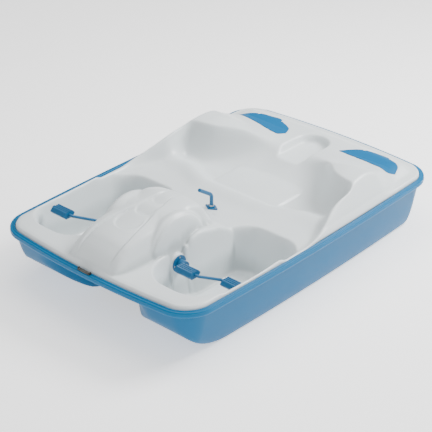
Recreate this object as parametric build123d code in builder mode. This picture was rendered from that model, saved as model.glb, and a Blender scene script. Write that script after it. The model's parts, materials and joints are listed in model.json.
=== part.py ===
"""Three-seat pedal boat: two moulded shells, a centre paddle wheel, twin cranks and a lever-steered rudder.

Frame: the origin is under the middle of the boat on the surface that it rests on, +Z is up,
the bow points to -Y, the stern to +Y, and port is +X.  All sizes are in millimetres.
"""
from build123d import *
import math
import os

# ---- overall form -------------------------------------------------------------------------
LENGTH = 2345.0            # over the gunwale, bow to stern
WIDTH = 1580.0             # over the gunwale
END_BULGE = 55.0           # how far the bow and stern edges curve out past their corners
SIDE_BULGE = 30.0
CORNER_RADIUS = 165.0
SHELL_WALL = 4.0           # both moulded shells
RUNNING_FIT = 0.08         # radial clearance of every turning fit
SEAT_GAP = 0.3             # clearance between pieces that lie against curved skins

# ---- gunwale and flanges ------------------------------------------------------------------
RIM_Z = 305.0              # underside of the gunwale trim
TRIM_HEIGHT = 38.0
TRIM_DEPTH = 32.0          # how far the trim reaches in over the flanges
TRIM_WALL = 5.0
FLANGE_REACH = 26.0        # width of the hull and deck flanges inside the trim
FLANGE_WALL = 6.0
SEAM_Z = RIM_Z + TRIM_WALL + SEAT_GAP + FLANGE_WALL
SKIN_INSET = TRIM_DEPTH + 2.0

# ---- hull ---------------------------------------------------------------------------------
HULL_BOTTOM_INSET = 82.0   # draft of the hull sides, measured at the bottom
KEEL_START_Y = -750.0      # where the flat bottom begins behind the bow curve
BOW_FOOT_Y = -1118.0
BOW_FOOT_Z = 265.0
TRANSOM_BOTTOM_Y = 1025.0
TUNNEL_HALF_WIDTH = 182.0
TUNNEL_HEIGHT = 215.0
TUNNEL_RADIUS = 45.0
MOUTH_START_Y = -930.0     # ahead of this the tunnel opens out to the bow
MOUTH_HALF_WIDTH = 420.0
MOUTH_HEIGHT = 296.0

# ---- paddle wheel and cranks --------------------------------------------------------------
AXLE_Y = -680.0
AXLE_Z = 290.0
WHEEL_RADIUS = 203.0
WHEEL_HALF_WIDTH = 122.0
WHEEL_BLADES = 6
BLADE_WALL = 7.0
WHEEL_CLEARANCE = 13.0
DOME_RADIUS = WHEEL_RADIUS + WHEEL_CLEARANCE
DOME_HALF_WIDTH = 148.0
HUB_RADIUS = 34.0
AXLE_RADIUS = 15.0
BUSH_WALL = 6.0
BUSH_FLANGE = 16.0
CRANK_RADIUS = 9.0         # bent steel rod
CRANK_THROW = 115.0
CRANK_TILT = 30.0          # degrees that the rear crank arm points below the horizontal
CRANK_BEND = 20.0
BEARING_RADIUS = 30.0
BEARING_LENGTH = 46.0
BEARING_FLANGE_RADIUS = 52.0
BEARING_FLANGE_WALL = 6.0
SCREW_HEAD_RADIUS = 5.0
PEDAL_LENGTH = 118.0
PEDAL_WIDTH = 92.0
PEDAL_HEIGHT = 44.0
PEDAL_EDGE = 20.0
PEDAL_SIDE_GAP = 2.0
CAP_LENGTH = 16.0
CAP_RADIUS = 15.0
CAP_ROUND = 5.0
PEDAL_ROUND = 7.0
PEDAL_GROOVES = 3
PEDAL_GROOVE = 5.0
PEDAL_GROOVE_DEPTH = 3.0
PEDAL_GROOVE_PITCH = 14.0
CRANK_START_X = 236.0      # the cranks enter the axle tube this far out
SPIGOT_RADIUS = 24.0
SPIGOT_LENGTH = 16.0
BEARING_SCREW_CIRCLE = 42.0
BEARING_SCREWS = 4
SCREW_HEAD = 3.0
LUG_REACH = 84.0
LUG_WALL = 6.0
LUG_ROOT = 2.0             # the blades start this far out from the hub
BOLT_INSET = 14.0
BOLT_HEAD = 5.0
BOLT_HEAD_RADIUS = 6.5
BOLT_SPACING = 80.0
RING_RADIUS = 150.0
RING_BORE = 36.0
RING_WALL = 4.0

# ---- deck ---------------------------------------------------------------------------------
DECK_Z = 362.0             # border beside the gunwale and coaming round the footwells
BORDER_RADIUS = 14.0
REAR_Z = 405.0             # rear deck
REAR_FRONT_Y = 560.0
REAR_BACK_Y = 1098.0
REAR_HALF_WIDTH = 672.0
REAR_SLOPE_RUN = 60.0      # the rear deck's sides lean in by this much
REAR_BASE_RADIUS = 120.0
REAR_TOP_RADIUS = 90.0
SHOULDER_Z = 518.0         # top of the two seat backs
SHOULDER_X = 430.0
SHOULDER_Y = 610.0
SHOULDER_WIDTH = 484.0
SHOULDER_DEPTH = 380.0
SHOULDER_TOP_WIDTH = 300.0
SHOULDER_TOP_DEPTH = 90.0
SHOULDER_RADIUS = 150.0
CREST_Y = 568.0
WELL_INNER_X = 250.0       # footwell, between the wheel housing and the side of the boat
WELL_OUTER_X = 724.0
WELL_FRONT_Y = -1005.0
WELL_REAR_Y = -80.0
WELL_FRONT_RADIUS = 205.0
WELL_REAR_RADIUS = 85.0
WELL_FLOOR_Z = 38.0
WELL_FLOOR_FRONT_Y = -600.0
WELL_RAMP_Y = -800.0       # the floor climbs with the bow from here
WELL_RAMP_Z = 92.0
WELL_TOE_Z = 220.0
CUT_MARGIN = 40.0          # how far a cutting shape reaches past what it cuts
WELL_DRAFT = 7.0
SEAT_Z = 318.0             # front roll of the seats and the panel that the lever stands on
SEAT_FRONT_Y = 20.0
SEAT_DISH_Y = 290.0
SEAT_DISH_Z = 286.0
SEAT_JOINT_Y = 388.0       # where the seat pan turns up into the back
SEAT_JOINT_Z = 292.0
SEAT_BACK_Y = 545.0
SEAT_BACK_RUN = 30.0
SEAT_CORNER_RADIUS = 180.0
SEAT_HALF_WIDTH = 702.0
SEAT_SIDE_Y = 120.0
SEAT_CORNER_X = 610.0
SEAT_CORNER_Y = 455.0
SEAT_OUTER_X = 450.0
SEAT_OUTER_Y = 640.0
MIDDLE_HALF_WIDTH = 112.0  # the middle seat, whose back leans much further
MIDDLE_JOINT_Y = 215.0
MIDDLE_JOINT_Z = 298.0
MIDDLE_CREST_Y = 668.0
MIDDLE_CREST_Z = 390.0
MIDDLE_BACK_RUN = 60.0
SCOOP_HALF_WIDTH = 112.0
SCOOP_FRONT_Y = 712.0
SCOOP_BACK_Y = 955.0
SCOOP_DEPTH = 48.0
STUD_RADIUS = 9.0
STUD_HEIGHT = 4.0
STUD_PITCH = 46.0
STUD_ROWS = 2
STUD_COUNT = 7
STUD_Y = -360.0

# ---- wheel housing in the middle of the deck ----------------------------------------------
HOUSING_TOP_HALF = 172.0
HOUSING_BASE_HALF = 240.0
HOUSING_FRONT_Y = -1120.0
HOUSING_REAR_Y = -345.0
HOUSING_TOP_Z = 552.0
HOUSING_NOSE = ((70, 422), (155, 486), (255, 516), (500, 532))  # (behind the front foot, height)
HOUSING_TAIL = ((95, 552), (40, 520))  # (ahead of the rear foot, height)
CHEEK_HALF_WIDTH = 214.0   # the round sides over the wheel
CHEEK_RADIUS = 252.0
CHEEK_Y = -622.0
CHEEK_Z = 326.0
BOSS_RADIUS = 62.0         # flat pads in the footwell walls for the crank bearings
BOSS_OUTER_X = 268.0

# ---- steering -----------------------------------------------------------------------------
LEVER_Y = -110.0
LEVER_RADIUS = 11.5
LEVER_RISE = 88.0
LEVER_REACH = 132.0
LEVER_CLIMB = 34.0         # degrees that the grip points above the horizontal
LEVER_BEND = 34.0
LEVER_FLANGE_LENGTH = 104.0
LEVER_FLANGE_WIDTH = 66.0
LEVER_FLANGE_WALL = 5.0
LEVER_COLLAR_HEIGHT = 12.0
LEVER_COLLAR = 9.0
LEVER_COLLAR_WALL = 4.0
LEVER_SOCKET_WALL = 6.0
LEVER_TIP_ROUND = 5.0
LEVER_FLANGE_ROUND = 6.0
LEVER_SCREW_X = 33.0
ARM_LENGTH = 70.0
ARM_WALL = 8.0
ARM_HUB_RADIUS = 20.0
ARM_Z = 250.0
ROD_RADIUS = 5.0
ROD_EYE_RADIUS = 12.0
ROD_EYE_WALL = 11.0
PIN_RADIUS = 4.0
PIN_HEAD = 3.0
ROD_OVERRUN = 2.0          # the rod reaches this far past each pin
OPEN_PIVOT_GAP = 0.5       # radial clearance where the linkage loop is opened
STACK_GAP = 0.3            # axial clearance between turning pieces
RUDDER_Y = 938.0
RUDDER_STOCK_RADIUS = 9.0
RUDDER_TUBE_RADIUS = 14.0
RUDDER_BLADE_FORE = 42.0
RUDDER_BLADE_AFT = 96.0
RUDDER_BLADE_WALL = 8.0
RUDDER_BLADE_BOTTOM = 24.0
RUDDER_BLADE_TOP = 192.0
RUDDER_BUSH_RADIUS = 18.0
RUDDER_BUSH_FLANGE = 34.0
RUDDER_BUSH_STEP = 22.0
RUDDER_BLADE_ROUND = 14.0
NUT_RADIUS = 15.0
NUT_HEIGHT = 9.0

# ---- smaller pieces -----------------------------------------------------------------------
INLAY_LENGTH = 415.0
INLAY_WIDTH = 150.0
INLAY_WALL = 4.0
INLAY_POCKET = 8.0
INLAY_X = 412.0
INLAY_Y = 880.0
INLAY_TURN = 9.5           # degrees
LEAF_FAR_SLOPE = 0.28      # how fast each edge leaves the tip
LEAF_NEAR_SLOPE = 0.1
LEAF_NEAR_SHARE = 0.62     # belly of the near edge against the far one
EYE_WIDTH = 84.0
EYE_WIRE = 3.5
EYE_REACH = 12.0
EYE_PLATE_WALL = 3.0
EYE_PLATE_DEPTH = 22.0
EYE_LUG_WALL = 5.0
EYE_LUG_RADIUS = 6.5
EYE_BEND = 5.5
EYE_PLAY = 1.0             # space beside and under the bail
PLUG_RADIUS = 12.0
PLUG_HEAD_RADIUS = 19.0
PLUG_HEAD = 8.0
PLUG_ROUND = 2.5
PLUG_Z = 70.0
PLUG_X = 470.0
PLUG_SHANK = 22.0
FOAM_FRONT_Y = 30.0
FOAM_BACK_Y = 900.0
FOAM_INNER_X = 250.0
FOAM_OUTER_X = 640.0
FOAM_TOP_Z = 262.0
FOAM_ROUND = 25.0

os.makedirs("parts", exist_ok=True)


# ---- shared shapes ------------------------------------------------------------------------
def outline(inset, height=0.0):
    """Plan of the boat, drawn in from the gunwale by inset: four shallow arcs with rounded corners.

    Each inset arc keeps the centre of the gunwale's own arc, so all the plans are parallel.
    """
    end_arc = ((WIDTH / 2 - SIDE_BULGE) ** 2 + END_BULGE**2) / (2 * END_BULGE)
    side_arc = ((LENGTH / 2 - END_BULGE) ** 2 + SIDE_BULGE**2) / (2 * SIDE_BULGE)
    end_centre = LENGTH / 2 - end_arc
    side_centre = WIDTH / 2 - side_arc
    apart = math.hypot(end_centre, side_centre)
    along = ((end_arc - inset) ** 2 - (side_arc - inset) ** 2 + apart**2) / (2 * apart)
    across = math.sqrt((end_arc - inset) ** 2 - along**2)
    corner_x = along * side_centre / apart - across * end_centre / apart
    corner_y = end_centre - along * end_centre / apart - across * side_centre / apart
    end_y = LENGTH / 2 - inset
    side_x = WIDTH / 2 - inset
    with BuildSketch(Plane.XY.offset(height)) as plan:
        with BuildLine():
            ThreePointArc((-corner_x, -corner_y), (0, -end_y), (corner_x, -corner_y))
            ThreePointArc((corner_x, -corner_y), (side_x, 0), (corner_x, corner_y))
            ThreePointArc((corner_x, corner_y), (0, end_y), (-corner_x, corner_y))
            ThreePointArc((-corner_x, corner_y), (-side_x, 0), (-corner_x, -corner_y))
        make_face()
        fillet(plan.vertices(), CORNER_RADIUS - inset)
    return plan.sketch


def ring(outer_inset, inner_inset, bottom, top):
    """Band that follows the plan between two insets and two heights."""
    with BuildPart() as band:
        add(outline(outer_inset, bottom))
        extrude(amount=top - bottom)
        add(outline(inner_inset, bottom))
        extrude(amount=top - bottom, mode=Mode.SUBTRACT)
    return band.part


def side_prism(profile_points, half_width, centre_x=0.0):
    """Closed outline in the Y-Z plane carried across the boat."""
    with BuildPart() as prism:
        with BuildSketch(Plane.YZ.offset(centre_x)):
            with BuildLine():
                Polyline(*profile_points, close=True)
            make_face()
        extrude(amount=half_width, both=True)
    return prism.part


def save(builder, name):
    """Label one finished piece and write its STEP file."""
    builder.part.label = name
    export_step(builder.part, f"parts/{name}.step")


# ---- hull shell ---------------------------------------------------------------------------
def hull_form(shrink):
    """Outside of the two floats as one body, drawn in by shrink on every face."""
    top_y = LENGTH / 2 - SKIN_INSET
    with BuildPart() as form:
        add(outline(HULL_BOTTOM_INSET + shrink, 0))
        add(outline(SKIN_INSET + shrink, SEAM_Z - FLANGE_WALL))
        loft(ruled=True)
        with BuildSketch(Plane.YZ):
            with BuildLine():
                Line((KEEL_START_Y, shrink), (TRANSOM_BOTTOM_Y - shrink, shrink))
                Line((TRANSOM_BOTTOM_Y - shrink, shrink), (top_y - shrink, SEAM_Z))
                Line((top_y - shrink, SEAM_Z), (-top_y + shrink, SEAM_Z))
                Line((-top_y + shrink, SEAM_Z), (BOW_FOOT_Y + shrink, BOW_FOOT_Z))
                TangentArc(
                    (KEEL_START_Y, shrink),
                    (BOW_FOOT_Y + shrink, BOW_FOOT_Z),
                    tangent=(-1, 0),
                )
            make_face()
        extrude(amount=WIDTH / 2, both=True, mode=Mode.INTERSECT)
    return form.part


def tunnel_form(grow):
    """Space between the floats from bow to stern, and the round dome over the paddle wheel."""
    with BuildPart() as form:
        with BuildSketch(Plane.XZ) as section:
            with Locations((0, (TUNNEL_HEIGHT + grow) / 2)):
                Rectangle(2 * (TUNNEL_HALF_WIDTH + grow), TUNNEL_HEIGHT + grow)
            fillet(section.vertices().group_by(Axis.Y)[-1], TUNNEL_RADIUS + grow)
        extrude(amount=LENGTH, both=True)
        with BuildSketch() as mouth:
            with BuildLine():
                Polyline(
                    (-TUNNEL_HALF_WIDTH - grow, MOUTH_START_Y + grow),
                    (TUNNEL_HALF_WIDTH + grow, MOUTH_START_Y + grow),
                    (MOUTH_HALF_WIDTH + grow, -LENGTH / 2),
                    (-MOUTH_HALF_WIDTH - grow, -LENGTH / 2),
                    close=True,
                )
            make_face()
        extrude(mouth.sketch, amount=MOUTH_HEIGHT + grow)
        add(cross_disc(DOME_RADIUS + grow, 0, DOME_HALF_WIDTH + grow, both=True))
    return form.part


def cross_disc(radius, start_x, reach, both=False, bore=0.0):
    """Disc or tube on the axle line, from start_x outward by reach."""
    with BuildPart() as disc:
        with BuildSketch(Plane.YZ.offset(start_x)):
            with Locations((AXLE_Y, AXLE_Z)):
                Circle(radius)
                if bore:
                    Circle(bore, mode=Mode.SUBTRACT)
        extrude(amount=reach, both=both)
    return disc.part


def upright(radius, x, y, bottom, top, bore=0.0):
    """Standing round piece between two heights."""
    with BuildPart() as post:
        with BuildSketch(Plane.XY.offset(bottom)):
            with Locations((x, y)):
                Circle(radius)
                if bore:
                    Circle(bore, mode=Mode.SUBTRACT)
        extrude(amount=top - bottom)
    return post.part


def transom_plane(side):
    """Plane on the raked transom at one drain, facing out."""
    run = LENGTH / 2 - SKIN_INSET - TRANSOM_BOTTOM_Y
    out = Vector(0, SEAM_Z, -run).normalized()
    centre = (side * PLUG_X, TRANSOM_BOTTOM_Y + run * PLUG_Z / SEAM_Z, PLUG_Z)
    return Plane(origin=centre, x_dir=(1, 0, 0), z_dir=out)


with BuildPart() as hull_shell:
    add(hull_form(0))
    add(ring(SKIN_INSET - FLANGE_REACH, SKIN_INSET + SHELL_WALL, SEAM_Z - FLANGE_WALL, SEAM_Z))
    add(hull_form(SHELL_WALL) - tunnel_form(SHELL_WALL), mode=Mode.SUBTRACT)
    add(cross_disc(DOME_RADIUS + SHELL_WALL, 0, DOME_HALF_WIDTH + SHELL_WALL, both=True))
    add(tunnel_form(0), mode=Mode.SUBTRACT)
    add(cross_disc(AXLE_RADIUS + BUSH_WALL, 0, WELL_INNER_X, both=True), mode=Mode.SUBTRACT)
    add(upright(RUDDER_BUSH_RADIUS, 0, RUDDER_Y, 0, SEAM_Z), mode=Mode.SUBTRACT)
    for side in (-1, 1):
        with BuildSketch(transom_plane(side)):
            Circle(PLUG_RADIUS + STACK_GAP)
        extrude(amount=3 * SHELL_WALL, both=True, mode=Mode.SUBTRACT)
save(hull_shell, "hull_shell")


# ---- deck shell ---------------------------------------------------------------------------
def slab(half_width, front_y, back_y, height, radius, centre_x=0.0):
    """Rounded rectangle in plan at one height."""
    with BuildSketch(Plane.XY.offset(height)) as plan:
        with Locations((centre_x, (front_y + back_y) / 2)):
            RectangleRounded(2 * half_width, back_y - front_y, radius)
    return plan.sketch


def deck_form(shrink):
    """Upper surface of the deck without its wells, as a solid standing on the seam."""
    base = DECK_Z - 2 * SHELL_WALL
    with BuildPart() as form:
        add(outline(SKIN_INSET + shrink, SEAM_Z))
        extrude(amount=DECK_Z - shrink - SEAM_Z)
        fillet(form.edges().group_by(Axis.Z)[-1], BORDER_RADIUS)
        front_y = REAR_FRONT_Y + shrink
        back_y = REAR_BACK_Y - shrink
        add(slab(REAR_HALF_WIDTH - shrink, front_y, back_y, base, REAR_BASE_RADIUS))
        top_x = REAR_HALF_WIDTH - REAR_SLOPE_RUN - shrink
        front_y += REAR_SLOPE_RUN / 2
        back_y -= REAR_SLOPE_RUN
        add(slab(top_x, front_y, back_y, REAR_Z - shrink, REAR_TOP_RADIUS))
        loft(ruled=True)
        for side in (-1, 1):
            base_x = SHOULDER_WIDTH / 2 - shrink
            base_y = SHOULDER_DEPTH / 2 - shrink
            top_x = SHOULDER_TOP_WIDTH / 2 - shrink
            top_y = SHOULDER_TOP_DEPTH / 2 - shrink
            centre_x = side * SHOULDER_X
            crest_z = SHOULDER_Z - shrink
            add(slab(base_x, SHOULDER_Y - base_y, SHOULDER_Y + base_y, base, SHOULDER_RADIUS, centre_x))
            add(slab(top_x, CREST_Y - top_y, CREST_Y + top_y, crest_z, top_y - STACK_GAP, centre_x))
            loft(ruled=True)
        add(housing_form(shrink))
        with BuildSketch(Plane.YZ) as round_side:
            with Locations((CHEEK_Y, CHEEK_Z)):
                Circle(CHEEK_RADIUS - shrink)
            with Locations((CHEEK_Y, SEAM_Z + CHEEK_RADIUS)):
                Rectangle(2 * CHEEK_RADIUS, 2 * CHEEK_RADIUS, mode=Mode.INTERSECT)
        extrude(amount=CHEEK_HALF_WIDTH - shrink, both=True)
    return form.part


def housing_form(shrink):
    """Long hump over the wheel: a drafted section along the boat, trimmed by its side profile."""
    with BuildPart() as hump:
        with BuildSketch(Plane.XZ):
            with BuildLine():
                Polyline(
                    (-HOUSING_BASE_HALF + shrink, SEAM_Z),
                    (-HOUSING_TOP_HALF + shrink, HOUSING_TOP_Z - shrink),
                    (HOUSING_TOP_HALF - shrink, HOUSING_TOP_Z - shrink),
                    (HOUSING_BASE_HALF - shrink, SEAM_Z),
                    close=True,
                )
            make_face()
        extrude(amount=LENGTH / 2, both=True)
        profile = [
            (HOUSING_FRONT_Y + shrink, SEAM_Z),
            (HOUSING_FRONT_Y + shrink, DECK_Z - shrink),
            *[(HOUSING_FRONT_Y + run, height - shrink) for run, height in HOUSING_NOSE],
            *[(HOUSING_REAR_Y - run - shrink, height - shrink) for run, height in HOUSING_TAIL],
            (HOUSING_REAR_Y - shrink, DECK_Z),
            (HOUSING_REAR_Y - shrink, SEAM_Z),
        ]
        add(side_prism(profile, WIDTH / 2), mode=Mode.INTERSECT)
    return hump.part


def well_form(side, grow):
    """Footwell: rounded plan with drafted walls, above a floor that climbs with the bow."""
    with BuildPart() as form:
        with BuildSketch(Plane.XY.offset(DECK_Z)) as plan:
            with Locations((side * (WELL_INNER_X + WELL_OUTER_X) / 2, (WELL_FRONT_Y + WELL_REAR_Y) / 2)):
                Rectangle(WELL_OUTER_X - WELL_INNER_X + 2 * grow, WELL_REAR_Y - WELL_FRONT_Y + 2 * grow)
            fillet(plan.vertices().group_by(Axis.Y)[0], WELL_FRONT_RADIUS + grow)
            fillet(plan.vertices().group_by(Axis.Y)[-1], WELL_REAR_RADIUS + grow)
        extrude(amount=-DECK_Z, taper=WELL_DRAFT)
        add(plan.sketch)
        extrude(amount=HOUSING_TOP_Z - DECK_Z)
        profile = [
            (WELL_FRONT_Y - CUT_MARGIN, HOUSING_TOP_Z + CUT_MARGIN),
            (WELL_FRONT_Y - CUT_MARGIN, WELL_TOE_Z - grow),
            (WELL_RAMP_Y, WELL_RAMP_Z - grow),
            (WELL_FLOOR_FRONT_Y, WELL_FLOOR_Z - grow),
            (WELL_REAR_Y + CUT_MARGIN, WELL_FLOOR_Z - grow),
            (WELL_REAR_Y + CUT_MARGIN, HOUSING_TOP_Z + CUT_MARGIN),
        ]
        add(side_prism(profile, WIDTH), mode=Mode.INTERSECT)
    return form.part


def bucket_form(side, grow):
    """Space over one seat: rounded plan, trimmed below by the line of the pan and the back."""
    rise = 2 * HOUSING_TOP_Z
    inner_x = MIDDLE_HALF_WIDTH / 2 - grow
    with BuildPart() as form:
        with BuildSketch() as plan:
            with BuildLine():
                Polyline(
                    (side * inner_x, HOUSING_REAR_Y - grow),
                    (side * (SEAT_HALF_WIDTH + grow), HOUSING_REAR_Y - grow),
                    (side * (SEAT_HALF_WIDTH + grow), SEAT_SIDE_Y),
                    (side * (SEAT_CORNER_X + grow), SEAT_CORNER_Y + grow),
                    (side * (SEAT_OUTER_X + grow / 2), SEAT_OUTER_Y + grow),
                    (side * inner_x, SEAT_OUTER_Y + grow),
                    close=True,
                )
            make_face()
            corner = plan.vertices().sort_by_distance((side * SEAT_CORNER_X, SEAT_CORNER_Y))[0]
            fillet(corner, SEAT_CORNER_RADIUS)
        extrude(amount=rise)
        profile = [
            (HOUSING_REAR_Y - 2 * grow, SEAT_Z - grow),
            (SEAT_FRONT_Y, SEAT_Z - grow),
            (SEAT_DISH_Y, SEAT_DISH_Z - grow),
            (SEAT_JOINT_Y + grow, SEAT_JOINT_Z - grow),
            (SEAT_BACK_Y + grow, SHOULDER_Z),
            (SEAT_BACK_Y + SEAT_BACK_RUN + grow, rise),
            (HOUSING_REAR_Y - 2 * grow, rise),
        ]
        add(side_prism(profile, WIDTH), mode=Mode.INTERSECT)
    return form.part


def middle_form(grow):
    """Space over the middle seat, whose back is one long slope up to the rear deck."""
    rise = 2 * HOUSING_TOP_Z
    profile = [
        (HOUSING_REAR_Y - grow, SEAT_Z - grow),
        (SEAT_FRONT_Y, SEAT_Z - grow),
        (MIDDLE_JOINT_Y + grow, MIDDLE_JOINT_Z - grow),
        (MIDDLE_CREST_Y + grow, MIDDLE_CREST_Z - grow),
        (MIDDLE_CREST_Y + MIDDLE_BACK_RUN + grow, rise),
        (HOUSING_REAR_Y - grow, rise),
    ]
    return side_prism(profile, MIDDLE_HALF_WIDTH + CUT_MARGIN + grow)


def scoop_form(grow):
    """U-shaped tray in the rear deck, open towards the middle seat."""
    with BuildPart() as form:
        with BuildSketch(Plane.XY.offset(REAR_Z - SCOOP_DEPTH - grow)) as plan:
            with Locations((0, (SCOOP_FRONT_Y + SCOOP_BACK_Y) / 2)):
                Rectangle(2 * (SCOOP_HALF_WIDTH + grow), SCOOP_BACK_Y - SCOOP_FRONT_Y + 2 * grow)
            fillet(plan.vertices().group_by(Axis.Y)[-1], SCOOP_HALF_WIDTH - SHELL_WALL / 2)
        extrude(amount=HOUSING_TOP_Z)
    return form.part


def deck_spaces(grow):
    """Everything that is pressed into the deck, each space larger by grow on every side."""
    with BuildPart() as spaces:
        for side in (-1, 1):
            add(well_form(side, grow))
            add(bucket_form(side, grow))
        add(middle_form(grow))
        add(scoop_form(grow))
    return spaces.part


def leaf(shrink, side, height):
    """Leaf-shaped inlay: round end to port, tip to starboard, both the same way round."""
    half_long = INLAY_LENGTH / 2 - shrink
    half_wide = INLAY_WIDTH / 2 - shrink
    turn = math.radians(INLAY_TURN)
    frame = Plane(origin=(side * INLAY_X, INLAY_Y, height), x_dir=(math.cos(turn), math.sin(turn), 0))
    tip = (-half_long, 0)
    with BuildSketch(frame) as plan:
        with BuildLine():
            Spline(
                tip,
                (0, half_wide),
                (half_long - half_wide, half_wide),
                (half_long, 0),
                tangents=[(1, LEAF_FAR_SLOPE), (0, -1)],
            )
            Spline(
                tip,
                (0, -half_wide * LEAF_NEAR_SHARE),
                (half_long - half_wide, -half_wide),
                (half_long, 0),
                tangents=[(1, -LEAF_NEAR_SLOPE), (0, 1)],
            )
        make_face()
    return plan.sketch


def deck_reach():
    """Largest body that the deck's walls may fill: the deck itself and the space inside the hull."""
    with BuildPart() as reach:
        add(outline(SKIN_INSET, 0))
        extrude(amount=SEAM_Z)
        add(deck_form(0))
    return reach.part


with BuildPart() as deck_shell:
    add(ring(SKIN_INSET - FLANGE_REACH, SKIN_INSET + SHELL_WALL, SEAM_Z, SEAM_Z + FLANGE_WALL))
    add(deck_form(0))
    add(deck_form(SHELL_WALL), mode=Mode.SUBTRACT)
    add(deck_spaces(SHELL_WALL) & deck_reach())
    for side in (-1, 1):
        add(leaf(-SHELL_WALL, side, REAR_Z - INLAY_POCKET - SHELL_WALL))
        extrude(amount=SHELL_WALL)
    add(deck_spaces(0), mode=Mode.SUBTRACT)
    for side in (-1, 1):
        add(cross_disc(BOSS_RADIUS, side * WELL_INNER_X, side * (BOSS_OUTER_X - WELL_INNER_X)))
        add(cross_disc(SPIGOT_RADIUS, side * CHEEK_HALF_WIDTH, side * BOSS_RADIUS), mode=Mode.SUBTRACT)
        add(leaf(0, side, REAR_Z - INLAY_POCKET))
        extrude(amount=INLAY_POCKET, mode=Mode.SUBTRACT)
        with BuildSketch(Plane.XY.offset(WELL_FLOOR_Z)):
            with Locations((side * (WELL_INNER_X + WELL_OUTER_X) / 2, STUD_Y)):
                with GridLocations(STUD_PITCH, STUD_PITCH, STUD_ROWS, STUD_COUNT):
                    Circle(STUD_RADIUS)
        extrude(amount=STUD_HEIGHT)
    add(upright(LEVER_RADIUS + 2 * STACK_GAP, 0, LEVER_Y, ARM_Z, SEAT_Z), mode=Mode.SUBTRACT)
save(deck_shell, "deck_shell")


# ---- gunwale ------------------------------------------------------------------------------
with BuildPart() as gunwale_trim:
    add(ring(0, TRIM_DEPTH, RIM_Z, RIM_Z + TRIM_HEIGHT))
    lip_z = SEAM_Z + FLANGE_WALL + SEAT_GAP
    top_z = RIM_Z + TRIM_HEIGHT
    add(ring(TRIM_WALL, TRIM_DEPTH, RIM_Z + TRIM_WALL, lip_z), mode=Mode.SUBTRACT)
    add(ring(TRIM_WALL, TRIM_DEPTH, lip_z + TRIM_WALL, top_z - TRIM_WALL), mode=Mode.SUBTRACT)
save(gunwale_trim, "gunwale_trim")


# ---- drive --------------------------------------------------------------------------------
INNER_ARM_X = BOSS_OUTER_X + BEARING_FLANGE_WALL + BEARING_LENGTH + CRANK_BEND + 2 * PEDAL_SIDE_GAP
MIDDLE_ARM_X = INNER_ARM_X + 2 * CRANK_BEND + PEDAL_LENGTH + 2 * PEDAL_SIDE_GAP
CRANK_END_X = MIDDLE_ARM_X + CRANK_BEND + PEDAL_LENGTH + 2 * PEDAL_SIDE_GAP + CAP_LENGTH
AXLE_END_X = INNER_ARM_X - CRANK_BEND - PEDAL_SIDE_GAP
FORWARD = Vector(0, -math.cos(math.radians(CRANK_TILT)), math.sin(math.radians(CRANK_TILT)))


def crank_plane(side, x=0.0):
    """Plane of one bent crank: x runs outboard along the axle, y towards that side's inner pedal."""
    reach = FORWARD * side
    outboard = Vector(side, 0, 0)
    return Plane(origin=(x, AXLE_Y, AXLE_Z), x_dir=outboard, z_dir=outboard.cross(reach))


def crank(side):
    """Steel rod bent into two throws, one ahead of the axle and one behind it."""
    with BuildPart() as rod:
        with BuildLine(crank_plane(side)) as path:
            FilletPolyline(
                (CRANK_START_X, 0),
                (INNER_ARM_X, 0),
                (INNER_ARM_X, CRANK_THROW),
                (MIDDLE_ARM_X, CRANK_THROW),
                (MIDDLE_ARM_X, -CRANK_THROW),
                (CRANK_END_X, -CRANK_THROW),
                radius=CRANK_BEND,
            )
        with BuildSketch(Plane(origin=path.line @ 0, z_dir=path.line % 0)):
            Circle(CRANK_RADIUS)
        sweep()
    return rod


def pedal(side, centre_x, throw):
    """Block pedal of flattened six-sided section, bored for the crank and ribbed above and below."""
    frame = crank_plane(side)
    middle = frame.from_local_coords(Vector(centre_x, throw, 0))
    inboard = middle - Vector(side * PEDAL_LENGTH / 2, 0, 0)
    section = Plane(origin=inboard, x_dir=(0, 1, 0), z_dir=(side, 0, 0))
    half_width = PEDAL_WIDTH / 2
    half_height = PEDAL_HEIGHT / 2
    with BuildPart() as block:
        with BuildSketch(section):
            with BuildLine():
                Polyline(
                    (-half_width, 0),
                    (-half_width + PEDAL_EDGE, half_height),
                    (half_width - PEDAL_EDGE, half_height),
                    (half_width, 0),
                    (half_width - PEDAL_EDGE, -half_height),
                    (-half_width + PEDAL_EDGE, -half_height),
                    close=True,
                )
            make_face()
        extrude(amount=PEDAL_LENGTH)
        fillet(block.edges().filter_by(Axis.X), PEDAL_ROUND)
        for face in (-1, 1):
            with BuildSketch(section):
                with Locations((0, face * half_height)):
                    with GridLocations(PEDAL_GROOVE_PITCH, PEDAL_HEIGHT, PEDAL_GROOVES, 1):
                        Rectangle(PEDAL_GROOVE, 2 * PEDAL_GROOVE_DEPTH)
            extrude(amount=PEDAL_LENGTH, mode=Mode.SUBTRACT)
        with BuildSketch(section):
            Circle(CRANK_RADIUS + RUNNING_FIT)
        extrude(amount=PEDAL_LENGTH, mode=Mode.SUBTRACT)
    return block


with BuildPart() as paddle_axle:
    add(cross_disc(AXLE_RADIUS, 0, AXLE_END_X, both=True))
    for side in (-1, 1):
        add(cross_disc(CRANK_RADIUS, side * CRANK_START_X, side * AXLE_END_X), mode=Mode.SUBTRACT)
save(paddle_axle, "paddle_axle")

with BuildPart() as paddle_hub:
    add(cross_disc(HUB_RADIUS, 0, WHEEL_HALF_WIDTH, both=True))
    with BuildSketch(Plane.YZ):
        with Locations((AXLE_Y, AXLE_Z)):
            with PolarLocations(0, WHEEL_BLADES):
                with Locations((LUG_REACH / 2, LUG_WALL / 2)):
                    Rectangle(LUG_REACH, LUG_WALL)
    extrude(amount=WHEEL_HALF_WIDTH, both=True)
    add(cross_disc(AXLE_RADIUS, 0, WHEEL_HALF_WIDTH, both=True), mode=Mode.SUBTRACT)
save(paddle_hub, "paddle_hub")

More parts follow.
